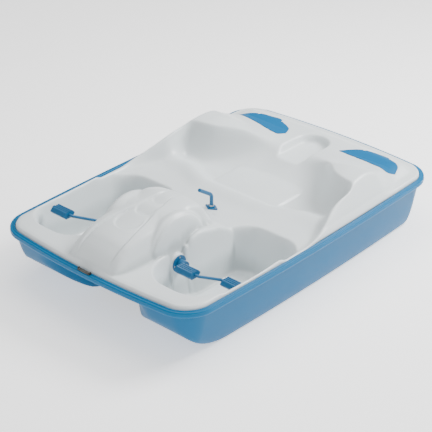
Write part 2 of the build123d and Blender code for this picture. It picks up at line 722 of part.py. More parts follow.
with BuildPart() as paddle_blades:
    with BuildSketch(Plane.YZ):
        with Locations((AXLE_Y, AXLE_Z)):
            with PolarLocations(0, WHEEL_BLADES):
                with Locations(((WHEEL_RADIUS + HUB_RADIUS + LUG_ROOT) / 2, -BLADE_WALL / 2)):
                    Rectangle(WHEEL_RADIUS - HUB_RADIUS - LUG_ROOT, BLADE_WALL)
    extrude(amount=WHEEL_HALF_WIDTH, both=True)
save(paddle_blades, "paddle_blades")

with BuildPart() as blade_bolts:
    with BuildSketch(Plane.YZ):
        with Locations((AXLE_Y, AXLE_Z)):
            with PolarLocations(0, WHEEL_BLADES):
                with Locations((LUG_REACH - BOLT_INSET, LUG_WALL + BOLT_HEAD / 2)):
                    Rectangle(2 * BOLT_HEAD_RADIUS, BOLT_HEAD)
    extrude(amount=BOLT_HEAD_RADIUS, both=True)
    bolt_row = blade_bolts.part
    with Locations((-BOLT_SPACING, 0, 0), (BOLT_SPACING, 0, 0)):
        add(bolt_row)
save(blade_bolts, "blade_bolts")

for side, name in ((1, "port"), (-1, "starboard")):
    with BuildPart() as wheel_ring:
        add(cross_disc(RING_RADIUS, side * WHEEL_HALF_WIDTH, side * RING_WALL, bore=RING_BORE))
    save(wheel_ring, f"wheel_ring_{name}")

    rod = crank(side)
    save(rod, f"crank_{name}")

    inner_x = (INNER_ARM_X + MIDDLE_ARM_X) / 2
    outer_x = MIDDLE_ARM_X + CRANK_BEND + PEDAL_SIDE_GAP + PEDAL_LENGTH / 2
    save(pedal(side, inner_x, CRANK_THROW), f"pedal_{name}_inner")
    save(pedal(side, outer_x, -CRANK_THROW), f"pedal_{name}_outer")

    cap_x = CRANK_END_X - CAP_LENGTH + PEDAL_SIDE_GAP
    tip = crank_plane(side).from_local_coords(Vector(cap_x, -CRANK_THROW, 0))
    cap_plane = Plane(origin=tip, x_dir=(0, 1, 0), z_dir=(side, 0, 0))
    with BuildPart() as cap:
        with BuildSketch(cap_plane):
            Circle(CAP_RADIUS)
        extrude(amount=CAP_LENGTH)
        with BuildSketch(cap_plane):
            Circle(CRANK_RADIUS)
        extrude(amount=CAP_LENGTH - PEDAL_SIDE_GAP, mode=Mode.SUBTRACT)
        fillet(cap.edges().sort_by(Axis.X)[-1 if side > 0 else 0], CAP_ROUND)
    save(cap, f"pedal_cap_{name}")

    barrel = BEARING_FLANGE_WALL + BEARING_LENGTH
    spigot_x = BOSS_OUTER_X - SPIGOT_LENGTH
    with BuildPart() as bearing:
        add(cross_disc(BEARING_FLANGE_RADIUS, side * BOSS_OUTER_X, side * BEARING_FLANGE_WALL))
        add(cross_disc(BEARING_RADIUS, side * BOSS_OUTER_X, side * barrel))
        add(cross_disc(SPIGOT_RADIUS - STACK_GAP, side * spigot_x, side * SPIGOT_LENGTH))
        add(cross_disc(AXLE_RADIUS + RUNNING_FIT, side * DOME_HALF_WIDTH, side * LENGTH), mode=Mode.SUBTRACT)
    save(bearing, f"crank_bearing_{name}")

    with BuildPart() as screws:
        head_x = BOSS_OUTER_X + BEARING_FLANGE_WALL
        with BuildSketch(Plane.YZ.offset(side * head_x)):
            with Locations((AXLE_Y, AXLE_Z)):
                with PolarLocations(BEARING_SCREW_CIRCLE, BEARING_SCREWS):
                    Circle(SCREW_HEAD_RADIUS)
        extrude(amount=side * SCREW_HEAD)
    save(screws, f"bearing_screws_{name}")

    sleeve_x = DOME_HALF_WIDTH - SHELL_WALL / 2
    with BuildPart() as dome_bush:
        add(cross_disc(AXLE_RADIUS + BUSH_WALL - STACK_GAP, side * sleeve_x, side * 2 * SHELL_WALL))
        add(cross_disc(AXLE_RADIUS + BUSH_FLANGE, side * (DOME_HALF_WIDTH + SHELL_WALL), side * SHELL_WALL))
        add(cross_disc(AXLE_RADIUS + RUNNING_FIT, 0, side * LENGTH), mode=Mode.SUBTRACT)
    save(dome_bush, f"axle_bush_{name}")


# ---- steering -----------------------------------------------------------------------------
ARM_TOP = ARM_Z + ARM_WALL
EYE_LOW = ARM_TOP + STACK_GAP
EYE_TOP = EYE_LOW + ROD_EYE_WALL

with BuildPart() as steering_lever:
    climb = math.radians(LEVER_CLIMB)
    bend_z = SEAT_Z + LEVER_RISE
    with BuildLine(Plane.YZ) as lever_path:
        FilletPolyline(
            (LEVER_Y, ARM_Z - ARM_WALL),
            (LEVER_Y, bend_z),
            (LEVER_Y - LEVER_REACH * math.cos(climb), bend_z + LEVER_REACH * math.sin(climb)),
            radius=LEVER_BEND,
        )
    with BuildSketch(Plane(origin=lever_path.line @ 0, z_dir=lever_path.line % 0)):
        Circle(LEVER_RADIUS)
    sweep()
    fillet(steering_lever.edges().sort_by(Axis.Z)[-1], LEVER_TIP_ROUND)
save(steering_lever, "steering_lever")

with BuildPart() as lever_flange:
    with BuildSketch(Plane(origin=(0, LEVER_Y, SEAT_Z))) as diamond:
        with BuildLine():
            Polyline(
                (-LEVER_FLANGE_LENGTH / 2, 0),
                (0, LEVER_FLANGE_WIDTH / 2),
                (LEVER_FLANGE_LENGTH / 2, 0),
                (0, -LEVER_FLANGE_WIDTH / 2),
                close=True,
            )
        make_face()
        fillet(diamond.vertices(), LEVER_FLANGE_ROUND)
    extrude(amount=LEVER_FLANGE_WALL)
    add(upright(LEVER_RADIUS + LEVER_SOCKET_WALL, 0, LEVER_Y, SEAT_Z, SEAT_Z + LEVER_COLLAR_HEIGHT))
    add(upright(LEVER_RADIUS + RUNNING_FIT, 0, LEVER_Y, SEAT_Z, SEAT_Z + LEVER_RISE), mode=Mode.SUBTRACT)
save(lever_flange, "lever_flange")

with BuildPart() as lever_screws:
    with BuildSketch(Plane.XY.offset(SEAT_Z + LEVER_FLANGE_WALL)):
        with Locations((-LEVER_SCREW_X, LEVER_Y), (LEVER_SCREW_X, LEVER_Y)):
            Circle(SCREW_HEAD_RADIUS)
    extrude(amount=SCREW_HEAD)
save(lever_screws, "lever_screws")

with BuildPart() as lever_collar:
    collar_z = SEAT_Z + LEVER_COLLAR_HEIGHT + STACK_GAP
    collar_radius = LEVER_RADIUS + LEVER_COLLAR_WALL
    add(upright(collar_radius, 0, LEVER_Y, collar_z, collar_z + LEVER_COLLAR, bore=LEVER_RADIUS))
save(lever_collar, "lever_collar")


def steering_arm(y, bore):
    """Flat arm that points to port, with a hub on its post and a hole for the rod pin."""
    with BuildPart() as arm:
        with BuildSketch(Plane.XY.offset(ARM_Z)):
            with Locations((0, y)):
                Circle(ARM_HUB_RADIUS)
            with Locations((ARM_LENGTH / 2, y)):
                Rectangle(ARM_LENGTH, 2 * ROD_EYE_RADIUS)
            with Locations((ARM_LENGTH, y)):
                Circle(ROD_EYE_RADIUS)
                Circle(PIN_RADIUS, mode=Mode.SUBTRACT)
            with Locations((0, y)):
                Circle(bore, mode=Mode.SUBTRACT)
        extrude(amount=ARM_WALL)
    return arm


def rod_pin(y):
    """Headed pin through a steering arm and the eye that lies on it."""
    with BuildPart() as pin:
        add(upright(PIN_RADIUS, ARM_LENGTH, y, ARM_Z, EYE_TOP + STACK_GAP))
        add(upright(2 * PIN_RADIUS, ARM_LENGTH, y, EYE_TOP + STACK_GAP, EYE_TOP + STACK_GAP + PIN_HEAD))
        add(upright(2 * PIN_RADIUS, ARM_LENGTH, y, ARM_Z - PIN_HEAD, ARM_Z))
    return pin


save(steering_arm(LEVER_Y, LEVER_RADIUS), "lever_arm")
save(rod_pin(LEVER_Y), "rod_pin_front")
save(steering_arm(RUDDER_Y, RUDDER_STOCK_RADIUS), "rudder_arm")
save(rod_pin(RUDDER_Y), "rod_pin_rear")

with BuildPart() as push_rod:
    rod_z = (EYE_LOW + EYE_TOP) / 2
    with BuildSketch(Plane.XZ.offset(-LEVER_Y - PIN_RADIUS - ROD_OVERRUN)):
        with Locations((ARM_LENGTH, rod_z)):
            Circle(ROD_RADIUS)
    extrude(amount=LEVER_Y - RUDDER_Y + 2 * (PIN_RADIUS + ROD_OVERRUN))
    for y in (LEVER_Y, RUDDER_Y):
        add(upright(ROD_EYE_RADIUS, ARM_LENGTH, y, EYE_LOW, EYE_TOP))
    add(upright(PIN_RADIUS + RUNNING_FIT, ARM_LENGTH, LEVER_Y, ARM_Z, SEAT_Z), mode=Mode.SUBTRACT)
    add(upright(PIN_RADIUS + OPEN_PIVOT_GAP, ARM_LENGTH, RUDDER_Y, ARM_Z, SEAT_Z), mode=Mode.SUBTRACT)
save(push_rod, "push_rod")

with BuildPart() as rudder_stock:
    add(upright(RUDDER_STOCK_RADIUS, 0, RUDDER_Y, RUDDER_BLADE_BOTTOM, ARM_TOP + NUT_HEIGHT))
save(rudder_stock, "rudder_stock")

with BuildPart() as rudder_nut:
    with BuildSketch(Plane.XY.offset(ARM_TOP)):
        with Locations((0, RUDDER_Y)):
            RegularPolygon(NUT_RADIUS, 6)
            Circle(RUDDER_STOCK_RADIUS, mode=Mode.SUBTRACT)
    extrude(amount=NUT_HEIGHT)
save(rudder_nut, "rudder_nut")

with BuildPart() as rudder_blade:
    with BuildSketch(Plane.YZ) as blade_side:
        blade_y = RUDDER_Y + (RUDDER_BLADE_AFT - RUDDER_BLADE_FORE) / 2
        with Locations((blade_y, (RUDDER_BLADE_BOTTOM + RUDDER_BLADE_TOP) / 2)):
            Rectangle(RUDDER_BLADE_AFT + RUDDER_BLADE_FORE, RUDDER_BLADE_TOP - RUDDER_BLADE_BOTTOM)
        fillet(blade_side.vertices(), RUDDER_BLADE_ROUND)
    extrude(amount=RUDDER_BLADE_WALL / 2, both=True)
    add(upright(RUDDER_TUBE_RADIUS, 0, RUDDER_Y, RUDDER_BLADE_BOTTOM, RUDDER_BLADE_TOP))
    add(upright(RUDDER_STOCK_RADIUS, 0, RUDDER_Y, 0, SEAM_Z), mode=Mode.SUBTRACT)
save(rudder_blade, "rudder_blade")

with BuildPart() as rudder_bush:
    roof_top = TUNNEL_HEIGHT + SHELL_WALL
    add(upright(RUDDER_BUSH_RADIUS - STACK_GAP, 0, RUDDER_Y, TUNNEL_HEIGHT - SHELL_WALL, roof_top))
    add(upright(RUDDER_BUSH_FLANGE, 0, RUDDER_Y, roof_top, ARM_Z - STACK_GAP - RUDDER_BUSH_STEP))
    add(upright(ARM_HUB_RADIUS, 0, RUDDER_Y, roof_top, ARM_Z - STACK_GAP))
    add(upright(RUDDER_STOCK_RADIUS + RUNNING_FIT, 0, RUDDER_Y, 0, SEAM_Z), mode=Mode.SUBTRACT)
save(rudder_bush, "rudder_bush")


# ---- pieces of both sides -----------------------------------------------------------------
for side, name in ((1, "port"), (-1, "starboard")):
    with BuildPart() as inlay:
        add(leaf(STACK_GAP, side, REAR_Z - INLAY_POCKET))
        extrude(amount=INLAY_WALL)
    save(inlay, f"deck_inlay_{name}")

    with BuildPart() as foam:
        with BuildSketch(Plane.XY.offset(SHELL_WALL)):
            with Locations((side * (FOAM_INNER_X + FOAM_OUTER_X) / 2, (FOAM_FRONT_Y + FOAM_BACK_Y) / 2)):
                Rectangle(FOAM_OUTER_X - FOAM_INNER_X, FOAM_BACK_Y - FOAM_FRONT_Y)
        extrude(amount=FOAM_TOP_Z - SHELL_WALL)
        fillet(foam.edges().filter_by(Axis.Z), FOAM_ROUND)
    save(foam, f"flotation_foam_{name}")

    with BuildPart() as plug:
        with BuildSketch(transom_plane(side)):
            Circle(PLUG_HEAD_RADIUS)
        extrude(amount=PLUG_HEAD)
        fillet(plug.edges().filter_by(GeomType.CIRCLE).sort_by(Axis.Y)[-1], PLUG_ROUND)
        with BuildSketch(transom_plane(side)):
            Circle(PLUG_RADIUS)
        extrude(amount=-PLUG_SHANK)
    save(plug, f"drain_plug_{name}")


# ---- bow eye ------------------------------------------------------------------------------
EYE_Y = -LENGTH / 2 + TRIM_DEPTH / 2
EYE_BASE_Z = RIM_Z + TRIM_HEIGHT
EYE_PIVOT_Z = EYE_BASE_Z + EYE_PLATE_WALL + EYE_WIRE + EYE_PLAY
EYE_LUG_HEIGHT = EYE_PIVOT_Z + EYE_LUG_RADIUS - EYE_BASE_Z

with BuildPart() as bow_eye_plate:
    with BuildSketch(Plane.XY.offset(EYE_BASE_Z)):
        with Locations((0, EYE_Y)):
            Rectangle(EYE_WIDTH + 2 * (EYE_LUG_WALL + EYE_PLAY), EYE_PLATE_DEPTH)
    extrude(amount=EYE_PLATE_WALL)
    for side in (-1, 1):
        with BuildSketch(Plane.YZ.offset(side * (EYE_WIDTH / 2 + EYE_PLAY))):
            with Locations((EYE_Y, EYE_BASE_Z + EYE_LUG_HEIGHT / 2)):
                Rectangle(2 * EYE_LUG_RADIUS, EYE_LUG_HEIGHT)
            with Locations((EYE_Y, EYE_PIVOT_Z)):
                Circle(EYE_WIRE + RUNNING_FIT, mode=Mode.SUBTRACT)
        extrude(amount=side * EYE_LUG_WALL)
save(bow_eye_plate, "bow_eye_plate")

with BuildPart() as tow_bail:
    bail_x = EYE_WIDTH / 2 - EYE_BEND
    with BuildLine(Plane.XY.offset(EYE_PIVOT_Z)) as bail_path:
        FilletPolyline(
            (-EYE_WIDTH / 2 - EYE_LUG_WALL, EYE_Y),
            (-bail_x, EYE_Y),
            (-bail_x, EYE_Y - EYE_REACH),
            (bail_x, EYE_Y - EYE_REACH),
            (bail_x, EYE_Y),
            (EYE_WIDTH / 2 + EYE_LUG_WALL, EYE_Y),
            radius=EYE_BEND,
        )
    with BuildSketch(Plane(origin=bail_path.line @ 0, z_dir=bail_path.line % 0)):
        Circle(EYE_WIRE)
    sweep()
save(tow_bail, "tow_bail")
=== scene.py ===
"""Looks of a three-seat pedal boat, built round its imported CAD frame.

Metres, +Z up, bow towards -Y, stern towards +Y, port towards +X.
"""

import json
import math

import bpy
import numpy as np
from bpy.props import FloatProperty, FloatVectorProperty, PointerProperty
from bpy.types import Operator, Panel, PropertyGroup
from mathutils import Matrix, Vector


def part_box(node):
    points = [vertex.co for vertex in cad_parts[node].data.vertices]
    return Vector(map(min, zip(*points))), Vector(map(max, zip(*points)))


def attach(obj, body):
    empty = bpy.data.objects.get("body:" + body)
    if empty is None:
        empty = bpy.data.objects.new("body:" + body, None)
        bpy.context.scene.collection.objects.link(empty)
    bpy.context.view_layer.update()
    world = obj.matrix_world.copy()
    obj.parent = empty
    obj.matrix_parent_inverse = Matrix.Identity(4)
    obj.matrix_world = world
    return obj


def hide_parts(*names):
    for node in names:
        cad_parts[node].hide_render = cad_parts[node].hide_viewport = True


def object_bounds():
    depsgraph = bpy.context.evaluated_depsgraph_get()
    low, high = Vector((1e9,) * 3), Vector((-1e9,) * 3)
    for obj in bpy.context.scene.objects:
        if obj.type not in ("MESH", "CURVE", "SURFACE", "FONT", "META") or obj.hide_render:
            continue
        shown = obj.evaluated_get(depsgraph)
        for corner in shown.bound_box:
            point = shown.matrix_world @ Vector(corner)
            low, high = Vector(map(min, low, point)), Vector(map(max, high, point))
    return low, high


bl_info = {
    "name": "Pedal Boat",
    "version": (1, 0, 0),
    "blender": (4, 5, 0),
    "location": "View3D > Sidebar > Pedal Boat",
    "description": "Moulded deck, hull, gunwale and fittings of a three-seat pedal boat",
    "category": "Add Mesh",
}

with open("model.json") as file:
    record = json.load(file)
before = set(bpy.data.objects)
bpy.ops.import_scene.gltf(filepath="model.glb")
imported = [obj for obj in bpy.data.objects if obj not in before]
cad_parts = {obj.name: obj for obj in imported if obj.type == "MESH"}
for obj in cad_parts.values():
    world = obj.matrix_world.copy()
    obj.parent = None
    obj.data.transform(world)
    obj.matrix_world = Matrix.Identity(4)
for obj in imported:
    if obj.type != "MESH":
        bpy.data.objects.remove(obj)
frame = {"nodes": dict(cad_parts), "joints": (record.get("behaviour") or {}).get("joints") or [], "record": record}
NODES = frame["nodes"]
BOAT_LOW, BOAT_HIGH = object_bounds()
TRIM_LOW, TRIM_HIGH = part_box("gunwale_trim")
HALF_LENGTH = TRIM_HIGH.y
HALF_WIDTH = TRIM_HIGH.x
RIM_LOW = TRIM_LOW.z
RIM_TOP = TRIM_HIGH.z
JOINTS = {joint["name"]: joint for joint in frame["joints"]}
AXLE = Vector(JOINTS["drive_spin"]["pos_m"])

END_BULGE = 0.055
SIDE_BULGE = 0.030
CORNER_RADIUS = 0.165


# ---- sizes and colours a user would change --------------------------------------------------
class BoatSizes(PropertyGroup):
    border_height: FloatProperty(
        name="Border height", description="Deck beside the gunwale, above the ground",
        default=RIM_TOP + 0.019, min=0.345, max=0.38, unit="LENGTH")
    rear_height: FloatProperty(
        name="Rear deck height", description="Deck behind the seats, above the ground",
        default=0.405, min=0.37, max=0.45, unit="LENGTH")
    shoulder_height: FloatProperty(
        name="Seat back height", description="Highest point of each seat back, above the ground",
        default=0.518, min=0.42, max=0.57, unit="LENGTH")
    seat_height: FloatProperty(
        name="Seat front height", description="Front of the bench and the panel under the lever",
        default=0.318, min=0.28, max=0.34, unit="LENGTH")
    seat_dip: FloatProperty(
        name="Seat dip", description="How far the seat sinks behind its front roll",
        default=0.034, min=0.0, max=0.06, unit="LENGTH")
    well_floor: FloatProperty(
        name="Footwell floor height", description="Flat floor under the riders' heels",
        default=0.042, min=0.03, max=0.1, unit="LENGTH")
    cup_depth: FloatProperty(
        name="Cup recess depth", description="Depth of the round recesses on the wheel housing",
        default=0.012, min=0.0, max=0.02, unit="LENGTH")
    shell_wall: FloatProperty(
        name="Shell wall", description="Thickness of the moulded deck",
        default=0.004, min=0.002, max=0.008, unit="LENGTH")


class BoatColours(PropertyGroup):
    deck: FloatVectorProperty(
        name="Deck", description="Cool white of the moulded deck",
        default=(0.745, 0.80, 0.815), subtype="COLOR", min=0, max=1)
    hull: FloatVectorProperty(
        name="Hull", description="Blue of the hull and the gunwale",
        default=(0.0, 0.118, 0.27), subtype="COLOR", min=0, max=1)
    inlay: FloatVectorProperty(
        name="Inlays", description="Blue of the two inlays behind the seats",
        default=(0.0, 0.125, 0.30), subtype="COLOR", min=0, max=1)
    pedal: FloatVectorProperty(
        name="Pedals", description="Blue of the pedals, cranks and steering lever",
        default=(0.0, 0.105, 0.25), subtype="COLOR", min=0, max=1)


# ---- shader writing ---------------------------------------------------------------------------
class Socket:
    """A node socket that takes part in Python arithmetic; each sign adds one Math node."""

    def __init__(self, paint, link):
        self.paint = paint
        self.link = link

    def _math(self, operation, first, second):
        return self.paint.node("ShaderNodeMath", {"operation": operation}, {0: first, 1: second})

    def __add__(self, other):
        return self._math("ADD", self, other)

    __radd__ = __add__

    def __mul__(self, other):
        return self._math("MULTIPLY", self, other)

    __rmul__ = __mul__

    def __sub__(self, other):
        return self._math("SUBTRACT", self, other)

    def __rsub__(self, other):
        return self._math("SUBTRACT", other, self)


class Paint:
    """A new material and its Principled shader."""

    def __init__(self, name, **fixed):
        self.material = bpy.data.materials.new(name)
        self.material.use_nodes = True
        self.tree = self.material.node_tree
        self.shader = self.tree.nodes["Principled BSDF"]
        for socket, value in fixed.items():
            target = self.shader.inputs[socket.replace("_", " ")]
            target.default_value = (*value, 1.0) if hasattr(value, "__len__") else value

    def node(self, kind, settings, inputs, output=0):
        """One node: its settings first, then the values and links of its sockets."""
        made = self.tree.nodes.new(kind)
        for key, value in settings.items():
            if key == "stops":
                ramp = made.color_ramp.elements
                while len(ramp) < len(value):
                    ramp.new(0.5)
                for element, (place, shade) in zip(ramp, value):
                    element.position = place
                    element.color = (shade, shade, shade, 1.0)
            else:
                setattr(made, key, value)
        for key, value in inputs.items():
            if isinstance(value, Socket):
                self.tree.links.new(value.link, made.inputs[key])
            else:
                made.inputs[key].default_value = value
        return Socket(self, made.outputs[output])

    def feed(self, name, value):
        self.tree.links.new(value.link, self.shader.inputs[name])

    def place(self):
        return self.node("ShaderNodeTexCoord", {}, {}, "Object")

    def stretched(self, scale):
        return self.node("ShaderNodeMapping", {}, {"Vector": self.place(), "Scale": scale})

    def noise(self, scale, detail=3.0, where=None):
        return self.node(
            "ShaderNodeTexNoise", {},
            {"Vector": where or self.place(), "Scale": scale, "Detail": detail}, "Fac")

    def attribute(self, name):
        return self.node("ShaderNodeAttribute", {"attribute_name": name}, {}, "Fac")

    def mix(self, amount, first, second):
        """Colour between first and second."""
        return self.node(
            "ShaderNodeMix", {"data_type": "RGBA"},
            {0: amount, 6: (*first, 1.0) if hasattr(first, "__len__") else first,
             7: (*second, 1.0) if hasattr(second, "__len__") else second}, 2)

    def ramp(self, value, stops):
        return self.node("ShaderNodeValToRGB", {"stops": stops}, {0: value})

    def relief(self, height, strength, distance):
        self.feed("Normal", self.node(
            "ShaderNodeBump", {}, {"Height": height, "Strength": strength, "Distance": distance}))


def scaled(colour, share):
    return tuple(min(1.0, part * share) for part in colour)


# Painted shade: the cool grey that the deck's colour is mixed towards in its creases, footwells and recesses.
PAINTED_SHADE_TINT = (0.90, 0.985, 1.0)
PAINTED_SHADE_LEVEL = 0.60


def moulded_plastic(name, colour, rough, grain=0.10, coat=0.0, painted_shade_attribute=None, shine=0.5):
    """Thermoformed sheet: faint colour drift, fine satin grain and slow waviness; given an attribute, painted
    shade darkens the colour where it marks a hollow.
    """
    paint = Paint(name, Coat_Weight=coat, Coat_Roughness=0.12, IOR=1.49, Specular_IOR_Level=shine)
    drift = paint.noise(2.3)
    blotch = paint.ramp(drift, [(0.35, 0.0), (0.7, 1.0)])
    tone = paint.mix(blotch, scaled(colour, 0.965), scaled(colour, 1.02))
    # Painted shade: the colour is mixed towards a cool grey as the attribute rises.
    if painted_shade_attribute:
        tone = paint.mix(paint.attribute(painted_shade_attribute), tone, scaled(PAINTED_SHADE_TINT, PAINTED_SHADE_LEVEL))
    paint.feed("Base Color", tone)
    scuff = paint.noise(38.0, 5.0)
    paint.feed("Roughness", paint.noise(7.0) * 0.10 + scuff * 0.06 + (rough - 0.08))
    fine = paint.noise(1400.0, 2.0)
    paint.relief(fine * 0.5 + paint.noise(9.0, 2.0) * 3.0, grain, 0.0006)
    return paint.material


def ribbed_plastic(name, colour):
    """Injection-moulded nylon: darker in the pores, with scuffed high spots."""
    paint = Paint(name, Coat_Weight=0.15, Coat_Roughness=0.3)
    wear = paint.ramp(paint.noise(60.0, 6.0), [(0.55, 0.0), (0.75, 1.0)])
    paint.feed("Base Color", paint.mix(wear * 0.25, colour, scaled(colour, 1.6)))
    paint.feed("Roughness", paint.noise(30.0) * 0.2 + 0.32)
    paint.relief(paint.noise(900.0), 0.15, 0.0005)
    return paint.material


def metal(name, colour, rough):
    """Zinc-plated or darkened steel with cloudy tarnish and fine rolling marks."""
    paint = Paint(name, Metallic=1.0)
    cloud = paint.ramp(paint.noise(25.0, 6.0), [(0.4, 0.0), (0.75, 1.0)])
    paint.feed("Base Color", paint.mix(cloud, colour, scaled(colour, 0.55)))
    paint.feed("Roughness", cloud * 0.25 + rough)
    paint.relief(paint.noise(300.0, 3.0, paint.stretched((1.0, 1.0, 6.0))), 0.12, 0.0004)
    return paint.material


def bead_foam(name):
    """Expanded bead foam: closed cells a few millimetres across."""
    paint = Paint(name, Roughness=0.9)
    cells = paint.node("ShaderNodeTexVoronoi", {}, {"Vector": paint.place(), "Scale": 260.0}, "Distance")
    paint.feed("Base Color", paint.mix(cells, (0.86, 0.86, 0.84), (0.6, 0.6, 0.58)))
    paint.relief(1 - cells, 0.5, 0.001)
    return paint.material


# ---- numpy shapes -----------------------------------------------------------------------------
def step(value, low, high):
    """0 below low, 1 above high, and a smooth cubic between."""
    t = np.clip((value - low) / (high - low), 0.0, 1.0)
    return t * t * (3.0 - 2.0 * t)


def soft_min(a, b, width):
    """The lower of a and b, rounded where they come within width of each other."""
    h = np.clip(0.5 + 0.5 * (b - a) / width, 0.0, 1.0)
    return b * (1.0 - h) + a * h - width * h * (1.0 - h)


def soft_max(a, b, width):
    return -soft_min(-a, -b, width)


def above(value, width):
    """max(value, 0) with a rounded foot: half the sum of value and its hypotenuse with width."""
    return 0.5 * (value + np.sqrt(value * value + width * width))


def bump(value, width):
    """1 at value 0, falling as a bell of that width."""
    return np.exp(-(value / width) ** 2)


def through(value, places, heights):
    """A smooth curve through the given points: cubic Hermite pieces with central slopes."""
    places = np.asarray(places)
    heights = np.asarray(heights)
    slopes = np.gradient(heights, places)
    value = np.clip(value, places[0], places[-1])
    i = np.clip(np.searchsorted(places, value) - 1, 0, len(places) - 2)
    gap = places[i + 1] - places[i]
    t = (value - places[i]) / gap
    return (heights[i] * (1 + 2 * t) * (1 - t) ** 2 + slopes[i] * gap * t * (1 - t) ** 2
            + heights[i + 1] * t * t * (3 - 2 * t) + slopes[i + 1] * gap * t * t * (t - 1))


def inside(x, y):
    """Distance in from the gunwale's outer edge: four shallow arcs meeting in round corners."""
    end_radius = (HALF_WIDTH ** 2 + END_BULGE ** 2) / (2 * END_BULGE)
    side_radius = (HALF_LENGTH ** 2 + SIDE_BULGE ** 2) / (2 * SIDE_BULGE)
    past_end = np.hypot(x, np.abs(y) + end_radius - HALF_LENGTH) - end_radius + CORNER_RADIUS
    past_side = np.hypot(np.abs(x) + side_radius - HALF_WIDTH, y) - side_radius + CORNER_RADIUS
    corner = np.hypot(np.maximum(past_end, 0), np.maximum(past_side, 0))
    return CORNER_RADIUS - corner - np.minimum(np.maximum(past_end, past_side), 0)


def outline_reach(angle, inset):
    """Distance from the middle of the boat to the outline at each angle, by halving."""
    low = np.zeros_like(angle)
    high = np.full_like(angle, HALF_LENGTH + HALF_WIDTH)
    for _ in range(40):
        middle = 0.5 * (low + high)
        within = inside(middle * np.cos(angle), middle * np.sin(angle)) > inset
        low = np.where(within, middle, low)
        high = np.where(within, high, middle)
    return low


def outline_points(inset, count):
    """Points evenly spaced along the outline, with outward unit normals."""
    angle = np.linspace(0, 2 * np.pi, 8 * count, endpoint=False)
    reach = outline_reach(angle, inset)
    x = reach * np.cos(angle)
    y = reach * np.sin(angle)
    gap = np.hypot(np.roll(x, -1) - x, np.roll(y, -1) - y)
    length = np.concatenate([[0.0], np.cumsum(gap)])
    wanted = np.linspace(0, length[-1], count, endpoint=False)
    x = np.interp(wanted, length, np.append(x, x[0]))
    y = np.interp(wanted, length, np.append(y, y[0]))
    dx = np.roll(x, -1) - np.roll(x, 1)
    dy = np.roll(y, -1) - np.roll(y, 1)
    size = np.hypot(dx, dy)
    return np.stack([x, y], 1), np.stack([dy / size, -dx / size], 1)


# ---- deck surface -----------------------------------------------------------------------------
DECK_INSET = 0.034
# Ridge of the seat backs: places along the boat, and shares of its full rise.
RIDGE_Y = (-0.48, -0.30, -0.14, 0.00, 0.09, 0.17, 0.30, 0.45, 0.56, 0.62, 0.70, 0.87)
RIDGE_SHARE = (0.00, 0.05, 0.08, 0.15, 0.28, 0.45, 0.76, 0.97, 1.00, 0.92, 0.66, 0.34)
LEAN_SLOPE = 1.80
LEAN_SLOPE_LOST_ASTERN = 1.2
LEAN_START = 0.048
LEAN_SETBACK_ASTERN = 0.040
ROLL_Y = 0.085
ROLL_SWEEP = 0.10
ROLL_HEIGHT = 0.020
ROLL_WIDTH = 0.070
BACK_FOOT_Y = 0.360
BACK_SWEEP = 0.100
BACK_REACH = 0.400
BACK_REACH_LOST = 0.245
BACK_RISE = 0.2
SEAT_SIDE_X = 0.700
SEAT_SIDE_TAPER = 0.150
SEAT_SIDE_CURVE = 13.0
SEAT_FRONT_RISE = 0.5
WELL_INNER = 0.235
WELL_OUTER = 0.736
WELL_FRONT = -1.010
WELL_REAR = -0.085
WELL_FRONT_RADIUS = 0.215
WELL_REAR_RADIUS = 0.17
WELL_DEPTH = 0.340
HEEL_RISE = 0.055
TOE_RISE = 0.13
WALL_SLOPE = 8.0
WALL_SLOPE_LOST_ASTERN = 4.6
# Crown of the wheel housing along its middle.
SPINE_Y = (-1.145, -1.10, -1.00, -0.90, -0.75, -0.60, -0.46, -0.38, -0.30, -0.22)
SPINE_Z = (0.318, 0.392, 0.472, 0.508, 0.528, 0.546, 0.553, 0.520, 0.400, 0.300)
STRIP_HALF = 0.125
STRIP_TAPER = 0.085
STRIP_STEP = 0.009
STRIP_GROOVE = 0.008
CHEEK_Y = -0.622
CHEEK_Z = 0.326
CHEEK_RADIUS = 0.250
CHEEK_OUTER = 0.207
CHEEK_LIP = 0.030
LIP_OUT = 0.009
PAD_X = 0.262
BOSS_RADIUS = 0.060
# Crown of the pad behind the crank bearing.
PAD_Y = (-0.66, -0.63, -0.585, -0.51, -0.415, -0.305, -0.20)
PAD_Z = (0.0, 0.300, 0.377, 0.411, 0.398, 0.365, 0.30)
# Each cup recess: its middle, its radius and its share of the full depth.
CUPS = ((-0.800, 0.082, 1.0), (-0.660, 0.062, 0.8), (-0.545, 0.044, 0.6))
SCOOP_Y = 0.845
SCOOP_RADIUS = 0.112
SCOOP_FLOOR = 0.350
SLOT_X = 0.062
SLOT_Y = 0.166
SLOT_HALF = 0.018
SLOT_TURN = 0.35
SLOT_DEPTH = 0.003
EDGE_DROP = 0.030
EDGE_ROLL = 0.020
EDGE_GROOVE = 0.0025
STUD_X = 0.480
STUD_Y = -0.360
STUD_PITCH = 0.046
STUD_COUNT = 7
STUD_RADIUS = 0.009
STUD_HEIGHT = 0.004
STUD_SINK = 0.0015
STUD_RINGS = 5
STUD_SIDES = 14
INLAY_LENGTH = 0.430
PORT_TIP = (0.212, 0.862)
STARBOARD_TIP = (-0.630, 0.822)
# Near and far edge of an inlay at shares of its length, in metres from its tip's line.
NEAR_SHARE = (0.0, 0.20, 0.45, 0.70, 0.85, 0.95, 1.0)
NEAR_EDGE = (0.0, -0.010, -0.022, -0.041, -0.045, -0.035, 0.005)
FAR_SHARE = (0.0, 0.10, 0.28, 0.48, 0.66, 0.72, 0.86, 0.95, 1.0)
FAR_EDGE = (0.002, 0.055, 0.116, 0.138, 0.144, 0.122, 0.094, 0.062, 0.008)
TOOTH_PLACES = (0.275, 0.70)
TOOTH_DEPTH = 0.011
TRAY_DEPTH = 0.0025
SHEET_PROUD = 0.0006
SHEET_WALL = 0.0028


